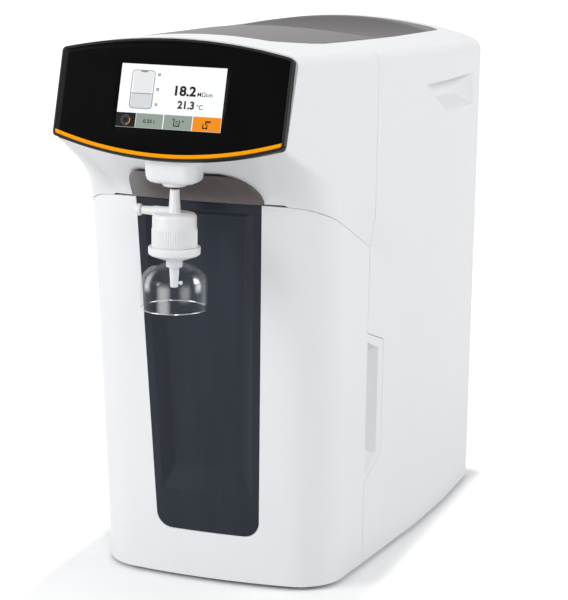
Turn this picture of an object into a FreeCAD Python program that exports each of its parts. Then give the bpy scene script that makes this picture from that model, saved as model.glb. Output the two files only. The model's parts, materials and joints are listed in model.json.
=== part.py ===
import FreeCAD, Part
import math
import os
from FreeCAD import Vector as V

# Bench-top ultrapure water system, millimetres, +Z up, front towards -Y.
# The origin is on the bench, under the middle of the whole machine.

# ---------------------------------------------------------------- overall form
DEPTH = 546.0            # display's lowest point to the rear edge of the cover
FLOOR_GAP = 4.0          # the covers stop this far above the bench
WALL = 3.0               # moulded covers
SEAM = 0.6               # gap between two covers
FIT = 0.3                # clearance between a piece and its seat
FRONT_Y = -DEPTH / 2
REAR_Y = DEPTH / 2

# ---------------------------------------------------------------- display head
DISPLAY_TILT = 17.0      # degrees back from upright
DISPLAY_HALF = 105.0     # half width of the display panel
DISPLAY_SIDE = 76.4      # length of its straight sides
DISPLAY_RISE = 12.0      # bow of its upper edge
DISPLAY_SAG = 16.0       # bow of its lower edge
DISPLAY_THICK = 7.5
DISPLAY_CORNER = 5.0     # lower corner radius
DISPLAY_Z = 428.0        # height of its lower corners
FRAME_LIP = 2.0          # rim of the display frame round the panel
PANEL_THICK = 1.8        # gloss panel and stripe, let into the frame
PANEL_FIT = 0.1
STRIPE_WIDTH = 3.4
GLASS_HALF = 47.8        # touch screen, half width
GLASS_HIGH = 54.7
GLASS_LOW = 10.6         # screen's lower edge above the lower corners
GLASS_THICK = 1.1
MODULE_THICK = 5.0       # screen module behind the glass
MODULE_GAP = 3.0         # from the module to its board
CHIP_HIGH = 3.0

# ---------------------------------------------------------------- wide upper form
SIDE_FRONT = 104.0       # half width at the display
SIDE_SEAM = 126.3        # half width near the cover seam
SIDE_REAR = 141.0        # half width at the rear column
SIDE_SEAM_Y = -60.0
SIDE_REAR_Y = 160.0
REAR_CORNER = 26.0
CROWN_Z = 513.0          # top of the arched roof, at the display
CROWN_FALL = 1.9         # degrees that the roof falls towards the rear
ROOF_RADIUS = 470.0
ROOF_EDGE = 8.0          # rounding between roof and sides

# ---------------------------------------------------------------- lower form
SEAM_Y = -67.0           # plane between the front and rear covers
DOOR_TOP = 366.0         # top of the front cover, at its front
DOOR_FRONT_LOW = FRONT_Y + 113.5   # front face at the bench
DOOR_FRONT_HIGH = FRONT_Y + 77.0   # front face at the door's top
DOOR_HALF_LOW = 112.0    # side of the front corner, before rounding
DOOR_HALF_HIGH = 117.2
DOOR_CORNER = 45.0
DOOR_BOW = 540.0         # plan radius of the front face
LOWER_SEAM_HALF = 121.2  # half width at the seam plane
LOWER_TAPER = 0.11       # widening per millimetre of depth behind the seam
LOWER_REAR_Y = 110.0     # the lower form ends inside the column

# ---------------------------------------------------------------- side arch
ARCH_SLOPE = 0.425       # fall of the outer edge per millimetre of depth
ARCH_COLUMN_Y = 100.0    # outer edge where it runs down the column
ARCH_BEND = 60.0
SEAM_SLOPE = 0.483       # fall of the inner edge
SEAM_TURN = 107.0        # radius at the front of the inner edge
SEAM_TURN_Y = FRONT_Y + 81.0
ARCH_HOLLOW = ((28.3, 0.85), (51.3, 0.7), (73.3, 0.5), (90.3, 0.3), (104.3, 0.2))   # behind the display, how hollow
COLUMN_INNER_Y = 56.0
COLUMN_BEND = 45.0
SKIRT_TUCK = 1.2         # how far the ramp under the arch runs on inside the lower form
COLUMN_TUCK = 2.5        # how far the column reaches into the lower form

# ---------------------------------------------------------------- niche in the door
NICHE_TOP_HALF = 59.6
NICHE_LOW_HALF = 50.1
NICHE_LOW_Z = 50.0
NICHE_CORNER = 15.0
TRAY_TOP_HALF = 51.5
TRAY_LOW_HALF = 43.8
TRAY_TOP_Z = 358.0
TRAY_LOW_Z = 89.0
TRAY_DEPTH = 9.0
TRAY_SLOPE = 10.5        # width of its sloping sides
TRAY_LEDGE = 24.0        # height of its sloping bottom

# ---------------------------------------------------------------- dispensing point
SPOUT_Y = FRONT_Y + 25.5           # axis of the outlet and the final filter
BOSS_HALF = 24.0
BOSS_DEPTH = 17.0
BOSS_LOW = 388.0
RING_R = 9.3
RING_LOW = 385.0
COLLAR_R = 4.2
COLLAR_LOW = 382.5
UNDER_HALF = 62.0        # dark insert under the hood
SPIGOT_R = 2.6           # the filter's spigot, in the collar
SPIGOT_HIGH = 391.0

# ---------------------------------------------------------------- final filter
CAPSULE_R = 19.3
CAPSULE_TOP = 364.0
FLANGE_R = 22.6
FLANGE_TOP = 335.0
FLANGE_LOW = 328.0
NECK_R = 7.1
NECK_LOW = 317.0
NOZZLE_R = 4.2
NOZZLE_LOW = 299.0
BELL_R = 29.3
BELL_WALL = 1.3
BELL_TOP = NECK_LOW + 5.0
BELL_HIGH = 41.5
BELL_DOME = 19.0         # height of its domed top
VENT_Z = 364.6
VENT_REACH = 38.0        # end of the vent's handwheel from the axis
VENT_R = 3.3
VENT_WHEEL_R = 5.2

# ---------------------------------------------------------------- lid and bag bay
LID_FRONT_Y = FRONT_Y + 102.0
LID_REAR_Y = REAR_Y - 30.0
LID_FRONT_HALF = 76.0
LID_REAR_HALF = 98.0
LID_CORNER = 34.0
LID_REAR_CORNER = 12.0
LID_THICK = 2.7
LID_GAP = 0.4            # between the lid and its opening
LID_LEDGE = 4.0          # width of the ledge that carries the lid
SCOOP_FRONT_Y = 8.0
SCOOP_REACH = 132.0      # from its front edge to its deepest line
SCOOP_DEPTH = 19.0
TUB_WALL = 2.5
TUB_HIGH = 470.0
TUB_HALF = 86.0
TUB_FRONT_Y = -48.0
TUB_REAR_Y = REAR_Y - 45.0
BAG_HIGH = 118.0         # filled height of the storage bag

# ---------------------------------------------------------------- base and frame
BASE_THICK = 3.0
BASE_RISE = 6.0          # underside of the base above the bench
BASE_RIM = 11.0          # height of its rim
RIM_THICK = 2.0
FOOT_R = 12.0
FRAME_HALF = 102.0       # outer faces of the side frames
FOOT_X = FRAME_HALF - 14.0
FOOT_FRONT_Y = FRONT_Y + 155.0
FOOT_REAR_Y = REAR_Y - 48.0
FRAME_HIGH = 335.0
FRAME_SHEET = 2.0
BULKHEAD_Y = -58.0       # rear face of the bulkhead
EAR_HALF = 112.0         # its ears carry the front cover's pins
PIN_X = 108.0
PIN_R = 2.5
PIN_LOW = 58.0
PIN_HIGH = 292.0
PIN_REACH = 16.0         # out of its boss

# ---------------------------------------------------------------- grips and hand recesses
FLAP_LOW = 85.0          # flaps of the front cover that reach behind its seam and hold the grips
FLAP_HIGH = 229.0
FLAP_REACH = 38.0
GRIP_RIM = 12.0          # from the flap's rear edge to the grip
GRIP_DEEP = 10.0
HOLD_LOW = 414.0         # hand recesses high on the sides
HOLD_HIGH = 449.0
HOLD_DEEP = 14.0
HOLD_REAR_Y = REAR_Y - 54.0
HOLD_FRONT_Y = REAR_Y - 210.0

# ---------------------------------------------------------------- rear connections
PANEL_HALF = 102.0
PANEL_LOW = 24.0
PANEL_HIGH = 300.0
PANEL_INSET = 28.0       # how deep the panel sits behind the cover's rear edge
PANEL_SHEET = 1.5
VENT_COUNT = 9
VENT_PITCH = 9.0
VENT_SLOT = 3.5
VENT_LENGTH = 54.0
INLET_X = 40.0 - FRAME_HALF
INLET_Z = 72.0
INLET_HALF = 24.0        # flange of the inlet module
INLET_LOW = 34.0         # below the socket's centre
INLET_HIGH = 31.0
SOCKET_WIDE = 25.0
SOCKET_HIGH = 20.0
SOCKET_DEEP = 17.0
ROCKER_WIDE = 20.0
ROCKER_HIGH = 13.0
ROCKER_RISE = 20.5       # above the socket's centre
ROCKER_TRAVEL = 20.0     # degrees between off and on
DRAWER_WIDE = 22.0
DRAWER_HIGH = 9.0
DRAWER_DROP = 22.0       # below the socket's centre
DRAWER_LONG = 24.0
PORT_X = 52.0
FEED_Z = 56.0
DRAIN_Z = 100.0
PORT_R = 8.0
NUT_AF = 20.0
NUT_THICK = 5.0

# ---------------------------------------------------------------- water path inside
CARTRIDGE_R = 34.0
CARTRIDGE_X = 45.0
CARTRIDGE_Y = -108.0
CARTRIDGE_HIGH = 255.0
CARTRIDGE_NECK_R = 12.0
DOCK_LOW = 264.0
DOCK_HIGH = 304.0
DOCK_HALF = 88.0
DOCK_FRONT_Y = -134.0
SOCKET_SINK = 12.0       # how far a cartridge's neck plugs into the dock
PUMP_X = 42.0
PUMP_Z = 46.0
PUMP_FRONT_Y = -20.0
MOTOR_R = 24.0
MOTOR_LONG = 62.0
HEAD_LONG = 34.0
COUPLING_Y = 14.0
COUPLING_R = 11.0
HOSE_R = 4.0
HOSE_BORE = 2.6
CELL_R = 9.0
CELL_LONG = 52.0
CELL_X = -30.0
VALVE_HALF = 13.0
VALVE_HIGH = 20.0
SLEEVE_R = 8.0
SLEEVE_TOP = 412.0

# ---------------------------------------------------------------- electrics
SUPPLY_X = -44.0
SUPPLY_HALF = 42.0
SUPPLY_FRONT_Y = 96.0
SUPPLY_LONG = 110.0
SUPPLY_HIGH = 46.0
BOARD_LOW = 118.0
BOARD_TALL = 150.0
BOARD_FRONT_Y = 20.0
BOARD_LONG = 160.0
BOARD_THICK = 1.6
STANDOFF = 6.0

os.makedirs("parts", exist_ok=True)
NODES = {}


def keep(name, shape):
    """Cleans one sub-part and files it under its node's name."""
    shape = shape.removeSplitter()
    if not shape.isValid():
        raise RuntimeError(name + " isn't valid")
    NODES[name] = shape
    print(f"{name:22s} solids {len(shape.Solids)} volume {shape.Volume / 1000:.1f} cm3")


# ---------------------------------------------------------------- small helpers
def box(x0, x1, y0, y1, z0, z1):
    return Part.makeBox(x1 - x0, y1 - y0, z1 - z0, V(x0, y0, z0))


def rod(r, start, end):
    axis = end - start
    return Part.makeCylinder(r, axis.Length, start, axis)


def tube(r_out, r_in, start, end):
    return rod(r_out, start, end).cut(rod(r_in, start, end))


def face_of(points):
    return Part.Face(Part.makePolygon(points + points[:1]))


def lathe(profile, x=0.0, y=0.0):
    """Turns (radius, height) points about an upright axis."""
    wire = face_of([V(r, 0, z) for r, z in profile])
    solid = wire.revolve(V(0, 0, 0), V(0, 0, 1), 360)
    solid.translate(V(x, y, 0))
    return solid


def mirrored(shape):
    return shape.mirror(V(0, 0, 0), V(1, 0, 0))


def both_sides(shape):
    return Part.makeCompound([shape, mirrored(shape)])


def fused(first, *rest):
    return first.fuse(list(rest)) if rest else first


def rounded_box(x0, x1, y0, y1, z0, z1, r):
    """A box with rounded upright edges."""
    solid = box(x0, x1, y0, y1, z0, z1)
    upright = [e for e in solid.Edges if abs(e.tangentAt(e.FirstParameter).z) > 0.9]
    return solid.makeFillet(r, upright)


def hexagon(across, start, axis, thick):
    """A hexagonal block on a Y axis."""
    r = across / math.sqrt(3)
    points = [V(start.x + r * math.cos(math.radians(60 * i)), start.y, start.z + r * math.sin(math.radians(60 * i)))
              for i in range(6)]
    return face_of(points).extrude(axis * thick)


def hose(points, r):
    """A round hose on straight runs joined by tangent arcs."""
    runs = [(b - a).Length for a, b in zip(points, points[1:])]
    edges = []
    start = points[0]
    for i in range(1, len(points) - 1):
        before = (points[i] - points[i - 1]).normalize()
        after = (points[i + 1] - points[i]).normalize()
        turn = before.getAngle(after)
        trim = 0.45 * min(runs[i - 1], runs[i])
        enter = points[i] - before * trim
        leave = points[i] + after * trim
        inward = (after - before).normalize()
        radius = trim / math.tan(turn / 2)
        centre = points[i] + inward * (radius / math.cos(turn / 2))
        middle = centre - inward * radius
        edges.append(Part.LineSegment(start, enter).toShape())
        edges.append(Part.Arc(enter, middle, leave).toShape())
        start = leave
    edges.append(Part.LineSegment(start, points[-1]).toShape())
    ring = Part.Wire([Part.makeCircle(r, points[0], points[1] - points[0])])
    return Part.Wire(edges).makePipeShell([ring], True, True)


# ---------------------------------------------------------------- side curves
def circle_through(a, b, c):
    """Centre and radius of the circle through three (y, x) points."""
    (y1, x1), (y2, x2), (y3, x3) = a, b, c
    d = 2 * (y1 * (x2 - x3) + y2 * (x3 - x1) + y3 * (x1 - x2))
    s1, s2, s3 = y1 * y1 + x1 * x1, y2 * y2 + x2 * x2, y3 * y3 + x3 * x3
    cy = (s1 * (x2 - x3) + s2 * (x3 - x1) + s3 * (x1 - x2)) / d
    cx = (s1 * (y3 - y2) + s2 * (y1 - y3) + s3 * (y2 - y1)) / d
    return cy, cx, math.hypot(y1 - cy, x1 - cx)


DISPLAY_BACK = math.sin(math.radians(DISPLAY_TILT))
DISPLAY_UP = math.cos(math.radians(DISPLAY_TILT))
DISPLAY_Y = FRONT_Y + DISPLAY_SAG * DISPLAY_BACK       # lower corners of the display's face
SIDE_CIRCLE = circle_through((DISPLAY_Y, SIDE_FRONT), (SIDE_SEAM_Y, SIDE_SEAM), (SIDE_REAR_Y, SIDE_REAR))


def wide_half(y):
    """Half width of the wide upper form at a depth y."""
    cy, cx, r = SIDE_CIRCLE
    return cx + math.sqrt(r * r - (y - cy) ** 2)


def lower_half(y):
    """Half width of the lower form behind its front corners."""
    return LOWER_SEAM_HALF + LOWER_TAPER * (y - SEAM_Y)


def lean(z):
    """0 at the bench and 1 at the door's top."""
    return (z - FLOOR_GAP) / (DOOR_TOP - FLOOR_GAP)


def door_front(z):
    return DOOR_FRONT_LOW + (DOOR_FRONT_HIGH - DOOR_FRONT_LOW) * lean(z)


def door_half(z):
    return DOOR_HALF_LOW + (DOOR_HALF_HIGH - DOOR_HALF_LOW) * lean(z)


# ---------------------------------------------------------------- display frame
def on_display(u, v, out=0.0):
    """A point on the display: u to the right, v up its face, out of its face."""
    y = DISPLAY_Y + v * DISPLAY_BACK - out * DISPLAY_UP
    z = DISPLAY_Z + v * DISPLAY_UP + out * DISPLAY_BACK
    return V(u, y, z)


DISPLAY_OUT = V(0, -DISPLAY_UP, DISPLAY_BACK)


def display_plate(inset, out, thick, corner, raised=0.0):
    """A plate with the display's bowed outline, inset all round; its lower edge may be raised further."""
    half = DISPLAY_HALF - inset
    low = inset + raised
    high = DISPLAY_SIDE - inset
    lower = Part.Arc(on_display(-half, low, out), on_display(0, low - DISPLAY_SAG, out),
                     on_display(half, low, out)).toShape()
    upper = Part.Arc(on_display(half, high, out), on_display(0, high + DISPLAY_RISE, out),
                     on_display(-half, high, out)).toShape()
    right = Part.makeLine(on_display(half, low, out), on_display(half, high, out))
    left = Part.makeLine(on_display(-half, high, out), on_display(-half, low, out))
    plate = Part.Face(Part.Wire([lower, right, upper, left])).extrude(DISPLAY_OUT * -thick)
    middle = DISPLAY_Z + DISPLAY_SIDE / 2 * DISPLAY_UP
    corners = [e for e in plate.Edges if abs(e.Length - thick) < 0.01 and e.CenterOfMass.z < middle]
    return plate.makeFillet(corner, corners)


def display_block(u0, u1, v0, v1, out, deep):
    """A rectangular block set into the display, from its face at `out` to `deep` behind it."""
    corners = [on_display(u, v, out) for u, v in ((u0, v0), (u1, v0), (u1, v1), (u0, v1))]
    return face_of(corners).extrude(DISPLAY_OUT * -deep)


# ---------------------------------------------------------------- the outer form
def wide_form(t):
    """The full-width upper form and rear column, inset by t."""
    front = FRONT_Y - 30
    rear = REAR_Y - t
    half = [(y, wide_half(y) - t) for y in (front, SIDE_SEAM_Y, SIDE_REAR_Y)]
    (y0, x0), (y1, x1), (y2, x2) = half
    r = REAR_CORNER - t
    k = r * (1 - math.sqrt(0.5))
    edges = [Part.makeLine(V(-x0, y0, 0), V(x0, y0, 0)),
             Part.Arc(V(x0, y0, 0), V(x1, y1, 0), V(x2, y2, 0)).toShape(),
             Part.makeLine(V(x2, y2, 0), V(x2, rear - r, 0)),
             Part.Arc(V(x2, rear - r, 0), V(x2 - k, rear - k, 0), V(x2 - r, rear, 0)).toShape(),
             Part.makeLine(V(x2 - r, rear, 0), V(r - x2, rear, 0)),
             Part.Arc(V(r - x2, rear, 0), V(k - x2, rear - k, 0), V(-x2, rear - r, 0)).toShape(),
             Part.makeLine(V(-x2, rear - r, 0), V(-x2, y2, 0)),
             Part.Arc(V(-x2, y2, 0), V(-x1, y1, 0), V(-x0, y0, 0)).toShape()]
    prism = Part.Face(Part.Wire(edges)).extrude(V(0, 0, CROWN_Z + 60))
    prism.translate(V(0, 0, FLOOR_GAP if t == 0 else -1))
    fall = math.tan(math.radians(CROWN_FALL))
    crown_y = DISPLAY_Y + DISPLAY_SIDE * DISPLAY_BACK
    start = V(0, crown_y - 200, CROWN_Z + 200 * fall - ROOF_RADIUS)
    roof = Part.makeCylinder(ROOF_RADIUS - t, DEPTH + 400, start, V(0, 1, -fall))
    solid = prism.common(roof)
    top = [e for e in solid.Edges if e.BoundBox.ZMin > 400 and e.BoundBox.YMax > front + 5]
    return solid.makeFillet(ROOF_EDGE - t / 2, top)


def door_corner(z, t):
    """Centre of the rounded front corner at height z, and where it meets the front and the side."""
    bow = DOOR_BOW - t
    bow_y = door_front(z) + DOOR_BOW
    xh = door_half(z) - t
    r = DOOR_CORNER - t
    start = V(xh, bow_y - math.sqrt(bow * bow - xh * xh), z)
    side = (V(LOWER_SEAM_HALF - t, SEAM_Y, z) - start).normalize()
    inward = V(-side.y, side.x, 0)
    base = start + inward * r - V(0, bow_y, z)
    along = base.x * side.x + base.y * side.y
    across = base.x ** 2 + base.y ** 2 - (bow - r) ** 2
    back = -along - math.sqrt(along * along - across)
    centre = start + inward * r + side * back
    radial = V(centre.x, centre.y - bow_y, 0).normalize()
    return centre, V(centre.x, centre.y, z) + radial * r, centre - inward * r


def lower_plan(z, t):
    """Plan outline of the lower form at height z, inset by t."""
    centre, front_end, side_start = door_corner(z, t)
    swing = ((front_end - centre) + (side_start - centre)).normalize()
    middle = centre + swing * (DOOR_CORNER - t)
    seam = V(LOWER_SEAM_HALF - t, SEAM_Y, z)
    back = V(lower_half(LOWER_REAR_Y) - t, LOWER_REAR_Y, z)

    def left(p):
        return V(-p.x, p.y, p.z)

    return Part.Wire([Part.Arc(left(front_end), V(0, door_front(z) + t, z), front_end).toShape(),
                      Part.Arc(front_end, middle, side_start).toShape(),
                      Part.makeLine(side_start, seam), Part.makeLine(seam, back),
                      Part.makeLine(back, left(back)), Part.makeLine(left(back), left(seam)),
                      Part.makeLine(left(seam), left(side_start)),
                      Part.Arc(left(side_start), left(middle), left(front_end)).toShape()])


def lower_form(t):
    low = FLOOR_GAP if t == 0 else -1.0
    return Part.makeLoft([lower_plan(low, t), lower_plan(DOOR_TOP + 30, t)], True, True)


def arch_profile(t):
    """The (y, z) outline of the space under the arch, grown by t; it also holds the door's seam."""
    front_z = DOOR_TOP + t
    angle = math.atan(SEAM_SLOPE)
    turn_y = SEAM_TURN_Y + SEAM_TURN * math.sin(angle)
    turn_z = front_z - SEAM_TURN * (1 - math.cos(angle))
    half = angle / 2
    mid_y = SEAM_TURN_Y + SEAM_TURN * math.sin(half)
    mid_z = front_z - SEAM_TURN * (1 - math.cos(half))
    column = COLUMN_INNER_Y + t
    knee_z = turn_z - SEAM_SLOPE * (column - turn_y)
    bend = COLUMN_BEND
    swing = math.pi / 2 - angle
    reach = bend * math.tan(swing / 2)
    bend_y, bend_z = column - reach * math.cos(angle), knee_z + reach * math.sin(angle)
    end_z = knee_z - reach
    centre_y = column - bend
    bow_y = centre_y + bend * math.cos(swing / 2)
    bow_z = end_z + bend * math.sin(swing / 2)
    return [(SEAM_TURN_Y, front_z), (mid_y, mid_z), (turn_y, turn_z),
            (bend_y, bend_z), (bow_y, bow_z), (column, end_z)]


def seam_height(y):
    """Height of the seam between hood and door at depth y, in front of the cover seam."""
    turn_y, turn_z = arch_profile(0)[2]
    if y >= turn_y:
        return turn_z - SEAM_SLOPE * (y - turn_y)
    reach = max(0.0, y - SEAM_TURN_Y)
    return DOOR_TOP - SEAM_TURN + math.sqrt(SEAM_TURN ** 2 - reach ** 2)


def arch_outer(y):
    return DISPLAY_Z - ARCH_SLOPE * (y - DISPLAY_Y)


def under_arch(t):
    """Everything below the arch's inner edge, across the full width."""
    a, b, c, d, e, f = [V(-200, y, z) for y, z in arch_profile(t)]
    start = V(-200, FRONT_Y - 60, DOOR_TOP + t)
    low_front = V(-200, FRONT_Y - 60, -20)
    low_rear = V(-200, f.y, -20)
    wire = Part.Wire([Part.makeLine(start, a), Part.Arc(a, b, c).toShape(), Part.makeLine(c, d),
                      Part.Arc(d, e, f).toShape(), Part.makeLine(f, low_rear),
                      Part.makeLine(low_rear, low_front), Part.makeLine(low_front, start)])
    return Part.Face(wire).extrude(V(400, 0, 0))


def seam_point(y):
    """A point on the right-hand seam between hood and door, where it runs at depth y."""
    z = seam_height(y)
    start = door_corner(z, 0)[2]
    share = (y - start.y) / (SEAM_Y - start.y)
    return V(start.x + share * (LOWER_SEAM_HALF - start.x), y, z)


def edge_point(y):
    """A point on the arch's outer edge, where it leaves the side of the wide form."""
    return V(wide_half(y), y, arch_outer(y))


def skirt_stations():
    """Outer point, inner point and hollowness down the right-hand half of the hood's underside."""
    rows = []
    centre, front_end, side_start = door_corner(DOOR_TOP, 0)
    for share in (0.0, 0.35, 0.65, 0.9):
        x_out, x_in = DISPLAY_HALF * share, front_end.x * share / 0.9
        sag = DISPLAY_SAG * (1 - share * share)
        y_in = DOOR_FRONT_HIGH + DOOR_BOW - math.sqrt(DOOR_BOW ** 2 - x_in ** 2)
        rows.append((on_display(x_out, -sag), V(x_in, y_in, DOOR_TOP), 1.0))
    first = math.atan2(front_end.y - centre.y, front_end.x - centre.x)
    last = math.atan2(side_start.y - centre.y, side_start.x - centre.x)
    rows.append((on_display(DISPLAY_HALF, 0), None, 0.95))
    for behind_display, hollow in ARCH_HOLLOW:
        rows.append((edge_point(DISPLAY_Y + behind_display), None, hollow))
    for i in range(4, len(rows)):
        outer, _, hollow = rows[i]
        angle = min(last, math.atan2(outer.y - centre.y, outer.x - centre.x))
        x = centre.x + DOOR_CORNER * math.cos(angle)
        y = centre.y + DOOR_CORNER * math.sin(angle)
        rows[i] = (outer, V(x, y, seam_height(y)), hollow)
    for y in (-140, -110, SEAM_Y):
        rows.append((edge_point(y), seam_point(y), 0.15))
    for y in (-10, 28):
        rows.append((edge_point(y), V(lower_half(y), y, seam_height(y)), 0.15))
    swing = math.pi / 2 - math.atan(ARCH_SLOPE)
    end_z = arch_outer(ARCH_COLUMN_Y) - ARCH_BEND * math.tan(swing / 2)
    inner_y, inner_end = arch_profile(0)[5]
    inner_swing = math.pi / 2 - math.atan(SEAM_SLOPE)
    for share in (0.0, 0.25, 0.5, 0.75, 1.0):
        a = swing * (1 - share)
        b = inner_swing * (1 - share)
        y_out = ARCH_COLUMN_Y - ARCH_BEND + ARCH_BEND * math.cos(a)
        y_in = inner_y - COLUMN_BEND + COLUMN_BEND * math.cos(b)
        rows.append((V(wide_half(y_out), y_out, end_z + ARCH_BEND * math.sin(a)),
                     V(lower_half(y_in), y_in, inner_end + COLUMN_BEND * math.sin(b)), 0.15))
    for z in (120, -30):
        rows.append((V(wide_half(ARCH_COLUMN_Y), ARCH_COLUMN_Y, z), V(lower_half(inner_y), inner_y, z), 0.15))
    return rows


def skirt_cut(t):
    """What is taken off between the arch's outer edge and the seam, all the way round, grown by t."""
    def section(outer, inner, hollow, side):
        away = V(outer.x - inner.x, outer.y - inner.y, 0)
        if outer.y > SEAM_Y:
            away = V(1, 0, 0)
        away = away.normalize()
        steep = inner + V(0, 0, 0.32 * (outer.z - inner.z)) + away * 4
        flat = (outer + inner) * 0.5
        pole = flat + (steep - flat) * hollow
        shift = V(0, 0, 0.6 * t) - away * t
        a, c = outer + shift, pole + shift
        b = inner + shift + (inner - pole).normalize() * SKIRT_TUCK
        start = a + (a - c).normalize() * 12
        end = b + (b - c).normalize() * 4
        points = [V(p.x * side, p.y, p.z) for p in (start, a, c, b, end, end + away * 120, start + away * 120)]
        start, a, c, b, end, end_far, start_far = points
        cove = Part.BezierCurve()
        cove.setPoles([a, c, b])
        return Part.Wire([Part.makeLine(start, a), cove.toShape(), Part.makeLine(b, end),
                          Part.makeLine(end, end_far), Part.makeLine(end_far, start_far),
                          Part.makeLine(start_far, start)])

    rows = skirt_stations()
    left = [section(*row, -1) for row in reversed(rows[1:])]
    right = [section(*row, 1) for row in rows]
    return Part.makeLoft(left + right, True, True)


def before_display(t):
    """Everything in front of the plane that the display sits on, grown by t."""
    out = -DISPLAY_THICK - t
    corners = [on_display(u, v, out) for u, v in ((-200, -90), (200, -90), (200, 180), (-200, 180))]
    return face_of(corners).extrude(DISPLAY_OUT * 120)


def upper_form(t):
    """The hood and the column, inset by t; behind the seam it reaches a little way into the lower form."""
    at_door = under_arch(t).common(box(-200, 200, FRONT_Y - 100, SEAM_Y, -30, CROWN_Z))
    form = wide_form(t).cut(before_display(t)).cut(at_door)
    return form.cut(under_arch(t - COLUMN_TUCK)).cut(skirt_cut(t))


def roof(t):
    """The solid under the arched roof, inset by t."""
    fall = math.tan(math.radians(CROWN_FALL))
    crown_y = DISPLAY_Y + DISPLAY_SIDE * DISPLAY_BACK
    start = V(0, crown_y - 200, CROWN_Z + 200 * fall - ROOF_RADIUS)
    return Part.makeCylinder(ROOF_RADIUS - t, DEPTH + 400, start, V(0, 1, -fall))


def lid_prism(inset):
    """Upright prism on the lid's plan outline, inset all round."""
    front, rear = LID_FRONT_Y + inset, LID_REAR_Y - inset
    a, b = LID_FRONT_HALF - inset, LID_REAR_HALF - inset
    r, q = LID_CORNER - inset, LID_REAR_CORNER - inset
    k = 1 - math.sqrt(0.5)
    middle = (a * 0.2 + b * 0.8, (front + rear) / 3)
    z = DISPLAY_Z
    half = [Part.Arc(V(a - r, front, z), V(a - r * k, front + r * k, z), V(a + r * 0.06, front + r, z)).toShape(),
            Part.Arc(V(a + r * 0.06, front + r, z), V(middle[0], middle[1], z), V(b, rear - q, z)).toShape(),
            Part.Arc(V(b, rear - q, z), V(b - q * k, rear - q * k, z), V(b - q, rear, z)).toShape()]
    other = [mirrored(e) for e in reversed(half)]
    edges = half + [Part.makeLine(V(b - q, rear, z), V(q - b, rear, z))] + other
    edges.append(Part.makeLine(V(r - a, front, z), V(a - r, front, z)))
    return Part.Face(Part.Wire(Part.__sortEdges__(edges))).extrude(V(0, 0, 150))


def scoop(t):
    """The lying cylinder that dishes the rear of the lid, grown by t."""
    reach = (SCOOP_REACH ** 2 + SCOOP_DEPTH ** 2) / (2 * SCOOP_DEPTH)
    fall = math.tan(math.radians(CROWN_FALL))
    y = SCOOP_FRONT_Y + SCOOP_REACH
    crown = CROWN_Z - fall * (y - DISPLAY_Y - DISPLAY_SIDE * DISPLAY_BACK)
    return rod(reach + t, V(-150, y, crown - SCOOP_DEPTH + reach), V(150, y, crown - SCOOP_DEPTH + reach))


def niche_prism(inset):
    """The niche insert's outline, cut through the door from the front."""
    top = NICHE_TOP_HALF - inset
    low = NICHE_LOW_HALF - inset
    z0 = NICHE_LOW_Z + inset
    y = FRONT_Y - 5
    solid = face_of([V(-low, y, z0), V(low, y, z0), V(top, y, DOOR_TOP + 10),
                     V(-top, y, DOOR_TOP + 10)]).extrude(V(0, SEAM_Y - y - 30, 0))
    corners = [e for e in solid.Edges if e.Length > 50 and e.BoundBox.ZMax < z0 + 1
               and abs(e.tangentAt(e.FirstParameter).y) > 0.9]
    return solid.makeFillet(NICHE_CORNER - inset, corners)


def tray_pocket(t):
    """The recess in the niche insert, grown by t behind its face."""
    def ring(step, deep):
        points = []
        for half, z, side in ((TRAY_LOW_HALF, TRAY_LOW_Z, -1), (TRAY_LOW_HALF, TRAY_LOW_Z, 1),
                              (TRAY_TOP_HALF, TRAY_TOP_Z, 1), (TRAY_TOP_HALF, TRAY_TOP_Z, -1)):
            if half == TRAY_LOW_HALF:
                lift = step * TRAY_LEDGE - t
            else:
                lift = t - step * TRAY_SLOPE * 0.5
            width = side * (half + t - step * TRAY_SLOPE)
            height = z + lift
            points.append(V(width, door_front(height) + deep, height))
        return Part.makePolygon(points + points[:1])
    return Part.makeLoft([ring(-0.6, -0.6 * TRAY_DEPTH), ring(1.0, TRAY_DEPTH + t)], True, True)


def insert_prism(inset):
    """The outline of the dark piece under the hood, seen from the front."""
    y = FRONT_Y - 5
    halves = [(UNDER_HALF, DOOR_TOP - 15), (UNDER_HALF, DOOR_TOP + 2), (UNDER_HALF - 3, DOOR_TOP + 14),
              (UNDER_HALF - 9, DOOR_TOP + 22), (UNDER_HALF - 18, DOOR_TOP + 29)]
    right = [V(h - inset, y, z - inset * (z > DOOR_TOP)) for h, z in halves]
    left = [V(-p.x, p.y, p.z) for p in reversed(right)]
    return face_of(right + left).extrude(V(0, 100, 0))


def side_pocket(half, outer, inner, deep, t):
    """A pocket in the right-hand side between two (y, z) outlines, grown by t; half(y) is the side's face."""
    def ring(points, depth, grow):
        cy = sum(p[0] for p in points) / len(points)
        cz = sum(p[1] for p in points) / len(points)
        grown = [(y + math.copysign(grow, y - cy), z + math.copysign(grow, z - cz)) for y, z in points]
        out = [V(half(y) - depth, y, z) for y, z in grown]
        return Part.makePolygon(out + out[:1])
    spread = [(2 * o[0] - i[0], 2 * o[1] - i[1]) for o, i in zip(outer, inner)]
    return Part.makeLoft([ring(spread, -deep, t), ring(inner, deep + t, t)], True, True)


# ================================================================ covers
upper, upper_inside = upper_form(0), upper_form(WALL)
lower, lower_inside = lower_form(0), lower_form(WALL)
past = 20.0
in_front = box(-200, 200, FRONT_Y - 60, SEAM_Y - SEAM / 2, -past, CROWN_Z + past)
behind = box(-200, 200, SEAM_Y + SEAM / 2, REAR_Y + 60, -past, CROWN_Z + past)
door_zone = under_arch(0)
door_zone.translate(V(0, 0, -SEAM))


def at_spout(z):
    return V(0, SPOUT_Y, z)


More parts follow.
